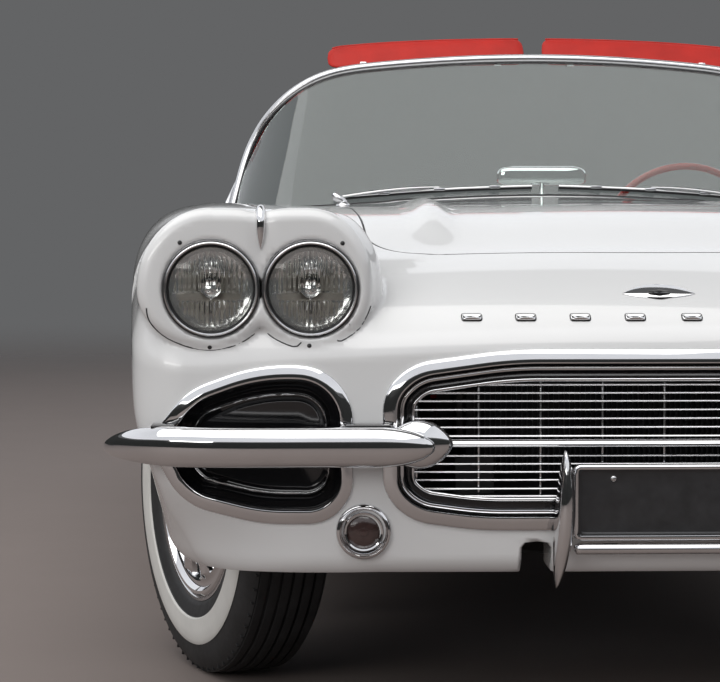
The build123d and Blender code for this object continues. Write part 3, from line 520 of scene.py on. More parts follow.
# Half sections from nose to tail: y, base x z, widest x z, fender corner x z and radius,
# valley beside the hood x z, centreline z.
SECTIONS = np.array([
    (-2172, 700, 284, 840, 500, 830, 880, 92, 465, 760, 775),
    (-2110, 728, 283, 850, 512, 840, 884, 125, 465, 772, 786),
    (-2030, 762, 283, 858, 535, 848, 892, 130, 465, 782, 796),
    (-1930, 786, 285, 866, 555, 856, 900, 134, 468, 796, 810),
    (-1780, 800, 288, 874, 563, 862, 902, 140, 472, 848, 866),
    (-1650, 806, 288, 880, 567, 867, 903, 145, 478, 868, 888),
    (-1436, 815, 288, 888, 570, 872, 902, 145, 490, 878, 898),
    (-1050, 818, 288, 886, 570, 870, 903, 135, 530, 886, 914),
    (-700, 820, 288, 880, 570, 866, 902, 120, 560, 892, 930),
    (-100, 820, 288, 874, 565, 860, 894, 110, 560, 868, 905),
    (500, 820, 288, 878, 565, 864, 896, 110, 560, 858, 882),
    (1155, 822, 292, 892, 570, 876, 906, 130, 560, 848, 866),
    (1700, 806, 300, 880, 575, 858, 866, 125, 550, 810, 830),
    (2050, 760, 318, 844, 575, 812, 808, 90, 530, 762, 782),
    (2176, 690, 350, 782, 575, 740, 745, 60, 500, 706, 724),
], float)
SLOPES = np.gradient(SECTIONS[:, 1:], SECTIONS[:, 0], axis=0)
DOOR_FRONT, DOOR_BACK = -450.0, 535.0
DOOR_LOW, DOOR_INSIDE = 350.0, 762.0
COCKPIT_FRONT, COCKPIT_BACK = -430.0, 560.0
AXLES = (-1436.0, 1155.0)
ARCHES = (398.0, 388.0)
ARCH_HEIGHT = 338.0
LAMP_HEIGHT, LAMPS = 748.0, (570.0, 729.5)
POD_FRONT = -2152.0
TAIL = 2174.0
HOOD_LINE = ([(0, -688), (-548, -697), (-466, -1925), (0, -1948), (466, -1925), (548, -697)],
             [3000, 40, 80, 1500, 80, 40])
TOP_LINE = ([(560, 560), (535, 935), (-535, 935), (-560, 560)], [30, 12, 12, 30])
BOOT_LINE = ([(535, 935), (478, 2080), (-478, 2080), (-535, 935)], [12, 90, 90, 12])
MOUTH = ([(300, 361), (410, 376), (454, 420), (454, 583), (408, 629), (250, 651),
          (-250, 651), (-408, 629), (-454, 583), (-454, 420), (-410, 376), (-300, 361)],
         [600, 95, 70, 70, 95, 700, 700, 95, 70, 70, 95, 600])
SCOOP = ([(503, 372), (650, 371), (778, 402), (816, 470), (818, 520), (768, 586), (655, 627), (503, 625)],
         [72, 300, 100, 45, 60, 120, 280, 90])
DOOR_DEPTH = 104.0
WAIST_BLEND = 26.0
COVE_DEPTH = 20.0
RIDGE_HEIGHT, RIDGE_X, RIDGE_WIDTH = 22.0, 350.0, 31.0
NOSE_START, NOSE_DEPTH, NOSE_MIDDLE, NOSE_RISE = -1930.0, 238.0, 645.0, 101.0
FENDER_INSIDE, FENDER_FRONT = 470.0, -2118.0
POD_RADIUS, POD_RISE, POD_BACK = 97.0, 97.0 / 129.0, -1650.0
POD_CREASE_X = 650.0
WELL_RADIUS, WELL_BACK = 78.0, -2096.0
NOTCH_X, NOTCH_HALF, NOTCH_TOP, NOTCH_BACK = 207.0, 24.0, 342.0, -2040.0
LINING_DEPTH, LINING_COARSE, LINING_FLANGE, LINING_GAP = 15.0, 2.4, 0.3, 3.0
LOW_EDGE, LID_FLOOR = 296.0, 700.0
UNCUT = -9.0
GRADIENT_STEP = 1.5
FRONT_START, FRONT_STOP = -2262.0, -1880.0
TOP_START, TOP_STOP = 700.0, 1000.0


def section_at(y):
    """The ten numbers of the half section at each y, smoothly from row to row."""
    ys = SECTIONS[:, 0]
    y = np.clip(y, ys[0], ys[-1])
    i = np.clip(np.searchsorted(ys, y) - 1, 0, len(ys) - 2)
    h = ys[i + 1] - ys[i]
    t = ((y - ys[i]) / h)[:, None]
    h = h[:, None]
    return hermite(SECTIONS[i, 1:], SECTIONS[i + 1, 1:], SLOPES[i] * h, SLOPES[i + 1] * h, t).T


def both_of(a, b, radius):
    """The solid inside both a and b, with its edge rounded to a radius."""
    edge = np.hypot(np.maximum(a + radius, 0), np.maximum(b + radius, 0))
    return np.minimum(-radius, np.maximum(a, b)) + edge


def either_of(a, b, radius):
    """The solid inside a or b, with the corner between them filled to a radius."""
    return -both_of(-a, -b, radius)


def lobes(a, z):
    """Distance from the outline of the two rounded lamp hoods."""
    up = np.maximum(z - LAMP_HEIGHT, 0) * POD_RISE + np.minimum(z - LAMP_HEIGHT, 0)
    inner = np.hypot(a - LAMPS[0] + 2, up) - POD_RADIUS
    wide = np.where(a > LAMPS[1], (a - LAMPS[1]) * 0.82, a - LAMPS[1])
    outer = np.hypot(wide, up) - POD_RADIUS - 1
    pair = either_of(inner, outer, 16)
    middle = (LAMPS[0] + LAMPS[1]) / 2
    dip = 4 * np.exp(-((a - middle) / 24) ** 2)
    roof = np.where((a > LAMPS[0]) & (a < LAMPS[1]), up - POD_RADIUS - 0.5 + dip, pair)
    share = smooth(LAMP_HEIGHT - 20, LAMP_HEIGHT + 60, z)
    return pair + (roof - pair) * share


def body_field(points):
    """Less than zero inside the closed body, about a distance near its skin."""
    a, y, z = np.abs(points[:, 0]), points[:, 1], points[:, 2]
    (base_x, base_z, wide_x, wide_z, crown_x, crown_z, crown_r, valley_x, valley_z,
     centre_z) = section_at(y)
    lower = base_x + (wide_x - base_x) * (z - base_z) / (wide_z - base_z)
    upper = wide_x + (crown_x - wide_x) * (z - wide_z) / (crown_z - wide_z)
    width = (lower + upper - np.hypot(lower - upper, WAIST_BLEND)) / 2
    side = a - width + COVE_DEPTH * band(y, -1030, -930, 120, 250) * band(z, 400, 440, 640, 690)
    share = np.minimum(a / valley_x, 1.0)
    ridge_x = RIDGE_X - 14 * smooth(-1700, -900, y)
    ridge = RIDGE_HEIGHT * np.exp(-np.abs((a - ridge_x) / RIDGE_WIDTH) ** 2.5)
    ridge = ridge * smooth(-1925, -1690, y) * (1 - 0.85 * smooth(-1500, -760, y))
    hood = z - (centre_z - (centre_z - valley_z) * share**2 + ridge)
    bow = 12 * (a / 650) ** 2 + 0.0025 * np.maximum(a - 560, 0) ** 2 * (1 - smooth(300, 430, z))
    tuck = np.maximum(400 - z, 0) ** 2 / 1400
    u = np.minimum((y - bow - tuck - NOSE_START) / NOSE_DEPTH, 0)
    middle = NOSE_MIDDLE + 0.27 * (y + 2168) - 14 * np.minimum(a / 465, 1.6) ** 2
    v = np.maximum((z - middle) / NOSE_RISE, 0)
    e = np.hypot(u, v)
    fall = np.hypot(u / NOSE_DEPTH, v / NOSE_RISE) / np.maximum(e, 1e-3)
    nose = (e - 1) / np.maximum(fall, 1 / NOSE_DEPTH)
    main = both_of(np.where(y < NOSE_START, nose, hood), side, 70)
    slope = (crown_z - valley_z) / (crown_x - valley_x)
    crest = (z - valley_z - (a - valley_x) * slope) / np.sqrt(1 + slope**2)
    fender = both_of(crest, side, crown_r)
    fender = both_of(fender, FENDER_INSIDE - 1.7 * np.maximum(y + 2020, 0) - a, 62)
    fender = both_of(fender, FENDER_FRONT - y, 60)
    shape = either_of(main, fender, 46)
    back = smooth(-2070, -1720, y)
    outside = LAMPS[1] + 120
    pod_a = outside - (outside - a) * (1 + 0.45 * back)
    flare = 19 * smooth(-2150, -2085, y) * smooth(-10, 70, LAMPS[0] - a)
    pod = lobes(pod_a + flare, z + 46 * back)
    crease = 5 * np.exp(-((a - POD_CREASE_X) / 17) ** 2) * smooth(700, 760, z) * (1 - smooth(-2140, -2060, y))
    pod = both_of(pod, POD_FRONT - y + crease, 17)
    pod = both_of(pod, y - POD_BACK, 40)
    shape = np.where(y < POD_BACK + 50, either_of(shape, pod, 9), shape)
    shape = both_of(shape, y - TAIL, 55)
    shape = both_of(shape, base_z + 2 - z, 34)
    notch = both_of(np.abs(a - NOTCH_X) - NOTCH_HALF, z - NOTCH_TOP, 15)
    shape = np.where(y < NOTCH_BACK, both_of(shape, -notch, 4), shape)
    for x in LAMPS:
        well = np.hypot(a - x, z - LAMP_HEIGHT) - WELL_RADIUS
        shape = both_of(shape, -both_of(well, y - WELL_BACK, 4), 7)
    return shape


def gradient_of(field, points):
    made = np.empty_like(points)
    for k in range(3):
        move = np.zeros(3)
        move[k] = GRADIENT_STEP
        made[:, k] = (field(points + move) - field(points - move)) / (2 * GRADIENT_STEP)
    return made


def settle(field, points, rounds=3):
    """Moves points onto the surface where the field is zero, and returns them with their normals."""
    for _ in range(rounds):
        g = gradient_of(field, points)
        size = np.maximum((g * g).sum(1), 1e-3)
        step = np.clip(field(points) / size, -8, 8)
        points = points - g * step[:, None]
    g = gradient_of(field, points)
    return points, g / np.maximum(np.linalg.norm(g, axis=1), 1e-9)[:, None]


def skin_of(field, xs, ys, zs):
    """Triangles over the surface where a field is zero, from its values on a grid."""
    grid = np.stack(np.meshgrid(xs, ys, zs, indexing="ij"), -1)
    shape = grid.shape[:3]
    flat = grid.reshape(-1, 3)
    parts = np.array_split(flat, max(len(flat) // 200000, 1))
    values = np.concatenate([field(part) for part in parts]).reshape(shape)
    cells = tuple(n - 1 for n in shape)
    total = np.zeros((int(np.prod(cells)), 3))
    count = np.zeros(int(np.prod(cells)))
    lines = (xs, ys, zs)
    quads = []
    for axis in range(3):
        low = [slice(None)] * 3
        high = [slice(None)] * 3
        low[axis], high[axis] = slice(0, -1), slice(1, None)
        fa, fb = values[tuple(low)], values[tuple(high)]
        crosses = (fa < 0) != (fb < 0)
        at = np.argwhere(crosses)
        t = fa[crosses] / (fa[crosses] - fb[crosses])
        place = np.stack([lines[k][at[:, k]] for k in range(3)], 1).astype(float)
        place[:, axis] += t * (lines[axis][at[:, axis] + 1] - lines[axis][at[:, axis]])
        one, two = [k for k in range(3) if k != axis]
        around, valid = [], np.ones(len(at), bool)
        for d1, d2 in ((-1, -1), (0, -1), (0, 0), (-1, 0)):
            cell = at.copy()
            cell[:, one] += d1
            cell[:, two] += d2
            inside = (cell >= 0).all(1) & (cell < np.array(cells)).all(1)
            index = np.ravel_multi_index(np.clip(cell, 0, np.array(cells) - 1).T, cells)
            around.append(index)
            valid &= inside
            for k in range(3):
                total[:, k] += np.bincount(index[inside], place[inside, k], len(count))
            count += np.bincount(index[inside], minlength=len(count))
        quad = np.stack(around, 1)
        outwards = (fa[crosses] < 0) != (axis == 1)
        quad[~outwards] = quad[~outwards][:, ::-1]
        quads.append(quad[valid])
    quads = np.vstack(quads)
    used, back = np.unique(quads, return_inverse=True)
    points = total[used] / count[used][:, None]
    quads = back.reshape(quads.shape)
    return points, np.vstack([quads[:, [0, 1, 2]], quads[:, [0, 2, 3]]])


def cut(points, faces, values):
    """Keeps what lies where values is below zero, with a clean edge through the triangles."""
    keep = values[faces] < 0
    inside = keep.sum(1)
    whole = faces[inside == 3]
    made, extra, edges = [], [], {}

    def crossing(i, j):
        key = (i, j) if i < j else (j, i)
        if key not in edges:
            edges[key] = len(points) + len(extra)
            t = values[i] / (values[i] - values[j])
            extra.append(points[i] + t * (points[j] - points[i]))
        return edges[key]

    split = (inside > 0) & (inside < 3)
    for face, flags in zip(faces[split].tolist(), keep[split].tolist()):
        turn = flags.index(True) if sum(flags) == 1 else (flags.index(False) + 1) % 3
        a, b, c = face[turn], face[(turn + 1) % 3], face[(turn + 2) % 3]
        if sum(flags) == 1:
            made.append((a, crossing(a, b), crossing(a, c)))
        else:
            bc, ac = crossing(b, c), crossing(a, c)
            made.append((a, b, bc))
            made.append((a, bc, ac))
    if extra:
        points = np.vstack([points, extra])
    faces = np.vstack([whole, np.array(made).reshape(-1, 3)]).astype(int)
    used, back = np.unique(faces, return_inverse=True)
    return points[used], back.reshape(faces.shape)


def whole_car(points, faces):
    """Adds the mirrored half, joined along the middle."""
    middle = np.abs(points[:, 0]) < 0.02
    points = points.copy()
    points[middle, 0] = 0
    other = np.arange(len(points)) + len(points)
    other[middle] = np.arange(len(points))[middle]
    both = np.vstack([points, points * (-1, 1, 1)])
    faces = np.vstack([faces, other[faces][:, ::-1]])
    used, back = np.unique(faces, return_inverse=True)
    return both[used], back.reshape(faces.shape)


def other_half(points, faces):
    return points * (-1, 1, 1), faces[:, ::-1]


def rim_of(faces):
    """The open edges of a mesh, each in the direction of its face."""
    edges = np.vstack([faces[:, [0, 1]], faces[:, [1, 2]], faces[:, [2, 0]]])
    key = np.sort(edges, axis=1)
    _, first, count = np.unique(key, axis=0, return_index=True, return_counts=True)
    return edges[first[count == 1]]


def panel(name, mesh, body, nodes, finish, depth, field, slot):
    """A body panel: skin with the body's own normals, and an edge turned in all round."""
    points, faces = mesh
    g = gradient_of(field, points)
    normals = g / np.maximum(np.linalg.norm(g, axis=1), 1e-9)[:, None]
    edge = rim_of(faces)
    i, j = edge[:, 0], edge[:, 1]
    lean = np.cross(points[j] - points[i], normals[i])
    size = np.linalg.norm(lean, axis=1)
    edge, lean = edge[size > 1e-6], lean[size > 1e-6] / size[size > 1e-6][:, None]
    out = np.zeros_like(points)
    for k in (0, 1):
        np.add.at(out, edge[:, k], lean)
    length = np.linalg.norm(out, axis=1)
    out[length > 0] /= length[length > 0][:, None]
    ring = np.unique(edge)
    place = np.full(len(points), -1)
    place[ring] = np.arange(len(ring))
    start = len(points)
    soft = points[ring] - normals[ring] * 1.2 + out[ring] * 0.6
    deep = points[ring] - normals[ring] * depth + out[ring] * 0.6
    n = len(ring)
    everything = np.vstack([points, soft, soft, deep])
    turned = normals[ring] * 0.7 + out[ring] * 0.7
    shading = np.vstack([normals, turned, out[ring], out[ring]])
    a, b = place[edge[:, 0]], place[edge[:, 1]]
    lip = np.column_stack([edge[:, 1], edge[:, 0], start + a, start + b])
    wall = np.column_stack([start + n + b, start + n + a, start + 2 * n + a, start + 2 * n + b])
    all_faces = faces.tolist() + lip.tolist() + wall.tolist()
    made = build(name, everything, all_faces, finish, normals=shading)
    return fit(made, body, slot, *nodes)


def lines_between(*spans):
    return np.concatenate([np.arange(a, b, step) for a, b, step in spans])


def hull_mesh(field, coarse=1.0):
    """The left half of a field's surface. coarse widens the grid."""
    xs = lines_between((-24 * coarse, 440, 22 * coarse), (440, 928, 8 * coarse))
    ys = lines_between((-2196, -1880, 7.5 * coarse), (-1880, -1300, 15 * coarse), (-1300, 1900, 24 * coarse),
                       (1900, 2205, 10 * coarse))
    zs = lines_between((264, 976, 9 * coarse))
    points, faces = skin_of(field, xs, ys, zs)
    points, _ = settle(field, points)
    return cut(points, faces, -points[:, 0])


def plan(line, points):
    return distance_to(line, points[:, :2])


def from_front(line, points):
    return distance_to(line, points[:, [0, 2]])


def in_arch(points, end):
    """How far inside a wheel arch each point lies, seen from the side."""
    return ARCHES[end] - np.hypot(points[:, 1] - AXLES[end], points[:, 2] - ARCH_HEIGHT)


class SCENE_OT_body(bpy.types.Operator):
    """Makes the body panels, the hood, the lids, the doors and the sills"""

    bl_idname = "roadster.body"
    bl_label = "Body panels"

    def execute(self, context):
        gap = sizes().panel_gap / MM / 2
        flange = sizes().panel_flange / MM
        lines = {"hood": HOOD_LINE, "top": TOP_LINE, "boot": BOOT_LINE, "mouth": MOUTH, "scoop": SCOOP}
        self.outlines = {name: rounded(*line) for name, line in lines.items()}
        self.panels(hull_mesh(body_field), gap, False, body_field, flange)

        def lining(points):
            return body_field(points) + LINING_DEPTH

        self.panels(hull_mesh(lining, LINING_COARSE), gap + LINING_GAP, True, lining, flange * LINING_FLANGE)
        self.seams()
        return {"FINISHED"}

    def panels(self, mesh, gap, lined, field, depth):
        """Cuts a surface into the car's panels, or its lining into theirs."""
        tail = "_lining" if lined else ""
        finish, slot = ("undercoat", "black_metal") if lined else ("body_paint", "body_paint")

        def keep(mesh, *fields):
            for value in fields:
                mesh = cut(*mesh, value(mesh[0]))
            return mesh

        def part(name, mesh, body, *nodes, edge=depth):
            panel(name + tail, mesh, body, () if lined else nodes, finish, edge, field, slot)

        def inside(name):
            return lambda p: plan(self.outlines[name], p) + gap

        def around(name):
            """Cuts a lid's opening, but nothing below it."""
            return lambda p: -plan(self.outlines[name], p) + gap - np.where(p[:, 2] < LID_FLOOR, 900, 0)

        def opening(name):
            return lambda p: np.where(p[:, 1] < -2000, -from_front(self.outlines[name], p), UNCUT)

        def lamp_hole(x):
            return lambda p: np.where(p[:, 1] < -2085, 76 - np.hypot(p[:, 0] - x, p[:, 2] - LAMP_HEIGHT), UNCUT)

        def above(z):
            return lambda p: z - p[:, 2]

        def after(y):
            return lambda p: y - p[:, 1] + gap

        def before(y):
            return lambda p: p[:, 1] - y + gap

        def arches(p):
            return np.maximum(in_arch(p, 0), in_arch(p, 1)) + (4 if lined else 0)

        def notch(p):
            return 30 - np.maximum.reduce([np.abs(p[:, 0] - NOTCH_X), p[:, 2] - 326,
                                           np.abs(p[:, 1] - NOTCH_BACK) + 14])

        clip = keep(
            mesh,
            lambda p: p[:, 1] - np.where(p[:, 0] > DOOR_INSIDE - 4, DOOR_FRONT, COCKPIT_FRONT) + gap,
            lambda p: -plan(self.outlines["hood"], p) + gap, arches, above(LOW_EDGE + (12 if lined else -6)),
            notch, opening("mouth"), opening("scoop"), *(lamp_hole(x) for x in LAMPS),
        )
        part("front_clip", whole_car(*clip), "chassis",
             "fender_left", "fender_right", "nose_panel", "cowl_panel")
        part("hood_skin", whole_car(*keep(mesh, inside("hood"), above(LID_FLOOR))), "bonnet", "hood")
        shut = keep(mesh, after(DOOR_FRONT), before(DOOR_BACK), above(DOOR_LOW + gap),
                    lambda p: DOOR_INSIDE - p[:, 0] + gap)
        edge = depth if lined else DOOR_DEPTH
        part("door_skin_left", shut, "left_door", "door_left", edge=edge)
        part("door_skin_right", other_half(*shut), "right_door", "door_right", edge=edge)
        rear = keep(
            mesh, lambda p: np.where(p[:, 0] > 735, DOOR_BACK, COCKPIT_BACK - 2) - p[:, 1] + gap,
            around("top"), around("boot"), arches, lambda p: base_of(p) + (22 if lined else 6) - p[:, 2],
        )
        part("rear_body", whole_car(*rear), "chassis", "quarter_left", "quarter_right", "tail_panel")
        cover = keep(mesh, inside("top"), above(LID_FLOOR), lambda p: COCKPIT_BACK + 5 - p[:, 1])
        part("top_cover_skin", whole_car(*cover), "top_cover", "top_lid")
        part("boot_skin", whole_car(*keep(mesh, inside("boot"), above(LID_FLOOR))), "boot_lid", "trunk_lid")
        rocker = keep(mesh, after(DOOR_FRONT), before(DOOR_BACK), lambda p: p[:, 2] - DOOR_LOW + 4 + gap,
                      lambda p: 655 - p[:, 0])
        part("rocker_skin", whole_car(*rocker), "chassis", "sills")

    def seams(self):
        """Dark joint lines, partly painted shade: black seals in the lid gaps and a black shadow line under
        each lamp plate; small screws round the lamp plates; and bright strips along the side coves.
        """
        # Black seal tubes laid in the lid gaps at the skin: a rubber seal, and also painted shade that keeps
        # the gaps dark where light would reach the pale flanges.
        gap_shade_seal = Stock()
        for name, start, end in (("hood", -2500, 2500), ("top", 575, 930), ("boot", -2500, 2500)):
            line = even(self.outlines[name], 7)
            for run in split_runs(line[(line[:, 1] > start) & (line[:, 1] < end)], 60):
                gap_shade_seal.tube(np.column_stack([run, top_of(run[:, 0], run[:, 1]) - 1.4]), 1.9, "satin_black", 6)
        gap_shade_seal.piece("lid_seals_gap_shade", "chassis", "black_metal")
        work = Stock()
        for x, z in ((LAMPS[0] - 51, 821), (LAMPS[1] + 49, 822), (LAMPS[0] + 2, 657), (LAMPS[1] + 2, 655)):
            at, normal = settle(body_field, np.array([[x, POD_FRONT + 6, z]]), 6)
            work.turned([(0, 1.6), (2.4, 1.5), (3.6, 0.6), (3.8, -1.5)], "satin_black", 14,
                        towards(normal[0], at[0]))
        # Thin black tubes along the lower joint of each lamp plate: a painted shadow line under the plate's
        # edge.
        for x, first, last in ((LAMPS[0], 196, 322), (LAMPS[1], 218, 344)):
            sweep = np.radians(np.linspace(first, last, 70))
            start = np.column_stack([x + 99 * np.cos(sweep), np.full(70, POD_FRONT + 15),
                                     LAMP_HEIGHT + 99 * np.sin(sweep)])
            work.tube(settle(body_field, start, 6)[0], 1.2, "satin_black", 6)
        work.mirrored().piece("lamp_plate_screws_and_shade_lines", "chassis", "black_metal")
        line = even(rounded([(-985, 424), (-30, 424), (215, 540), (-30, 664), (-985, 664)],
                            [40, 90, 60, 90, 40], 12), 14)
        start = np.column_stack([np.full(len(line), 885.0), line])
        front = self.cove_strip(start[start[:, 1] < DOOR_FRONT - 4])
        front.mirrored().piece("cove_strips_front", "chassis", "bright_metal")
        door = start[start[:, 1] > DOOR_FRONT + 4]
        self.cove_strip(door).piece("cove_strip_left_door", "left_door", "bright_metal")
        self.cove_strip(door).moved_over().piece("cove_strip_right_door", "right_door", "bright_metal")

    def cove_strip(self, line):
        """A bright strip on the left side's skin along part of the cove's outline."""
        at, _ = settle(body_field, line, 8)
        order = at[np.argsort(np.arctan2(line[:, 2] - 544, line[:, 1] - line[:, 1].mean()))]
        made = Stock()
        for run in split_runs(order, 40):
            if len(run) > 3:
                made.tube(run + (1.5, 0, 0), 5.0, "chrome", 8, up=LEFT)
        return made


def base_of(points):
    return section_at(points[:, 1])[1]


def split_runs(points, reach):
    """Cuts a closed list of points into open runs wherever two neighbours lie far apart."""
    steps = np.linalg.norm(np.roll(points, -1, axis=0) - points, axis=1)
    far = np.flatnonzero(steps > reach)
    if not len(far):
        return [np.vstack([points, points[:1]])]
    points = np.roll(points, -(far[0] + 1), axis=0)
    steps = np.roll(steps, -(far[0] + 1))
    ends = np.flatnonzero(steps > reach) + 1
    return [run for run in np.split(points, ends) if len(run)]


def front_of(x, z):
    """How far forward the body's skin comes at each x and z."""
    x, z = np.abs(np.atleast_1d(x).astype(float)), np.atleast_1d(z).astype(float)
    low, high = np.full(len(x), FRONT_START), np.full(len(x), FRONT_STOP)
    found = np.zeros(len(x), bool)
    for y in np.arange(FRONT_START, FRONT_STOP, 8.0):
        hit = (body_field(np.column_stack([x, np.full(len(x), y), z])) < 0) & ~found
        low[hit], high[hit] = y - 8, y
        found |= hit
    for _ in range(14):
        middle = (low + high) / 2
        inside = body_field(np.column_stack([x, middle, z])) < 0
        high = np.where(inside, middle, high)
        low = np.where(inside, low, middle)
    return high


def frame_rows(line, steps, base=None, axis=None):
    """Rows of points for a moulding round an outline in the front view: (inset, forward) steps.
    With an axis, a level segment (x0, x1, z), the inset runs towards that segment."""
    normal = outward(line)
    if axis is not None:
        x0, x1, z = axis
        target = np.column_stack([np.clip(line[:, 0], x0, x1), np.full(len(line), z)])
        normal = unit(line - target)
    if base is None:
        base = front_of(line[:, 0], line[:, 1])
    base = np.broadcast_to(base, len(line))
    rows = []
    for inset, forward in steps:
        flat = line - normal * inset
        rows.append(np.column_stack([flat[:, 0], base - forward, flat[:, 1]]))
    return rows


def span_at(line, z):
    """The largest x of an outline at height z."""
    found = []
    for a, b in zip(line, np.roll(line, -1, axis=0)):
        if (a[1] < z) != (b[1] < z):
            found.append(a[0] + (z - a[1]) * (b[0] - a[0]) / (b[1] - a[1]))
    return max(found) if found else 0.0


GRILLE_BARS = (594, 581, 568, 554, 540, 526, 512, 480, 467, 454, 441, 427, 415)
GRILLE_FACE, GRILLE_INSET, MAIN_BAR = -2157.0, 50.0, 500.0
SCOOP_AXIS = (590.0, 738.0, 500.0)
BUMPER_HEIGHT, BUMPER_TALL = 500.0, 32.0
GUARD_LOW, GUARD_HIGH = 272.0, 494.0
PLATE_BACK, PLATE_MIDDLE, PLATE_SCREW_X = -2196.0, 409.0, 89.0
PARKING_X, PARKING_Z = 485.5, 359.0
DASHES, DASH_Z = (46, 135, 223, 310), 702.0
EMBLEM_Z, EMBLEM_HALF, EMBLEM_TALL = 743.0, 60.0, 10.5


def blade_section(steps, nose, back, depth_back, tall):
    """The section of a bumper: how far out and up each point of it lies, from -1 to 1."""
    angles = ring_angles(steps)
    c, s = np.cos(angles), np.sin(angles)
    return np.where(c > 0, np.abs(c) ** nose, -np.abs(c) ** back * depth_back), signed_power(s, tall)


def bow_of(x):
    """How far the grille's bars bend back beside the car's middle."""
    return 12 * (x / 650) ** 2


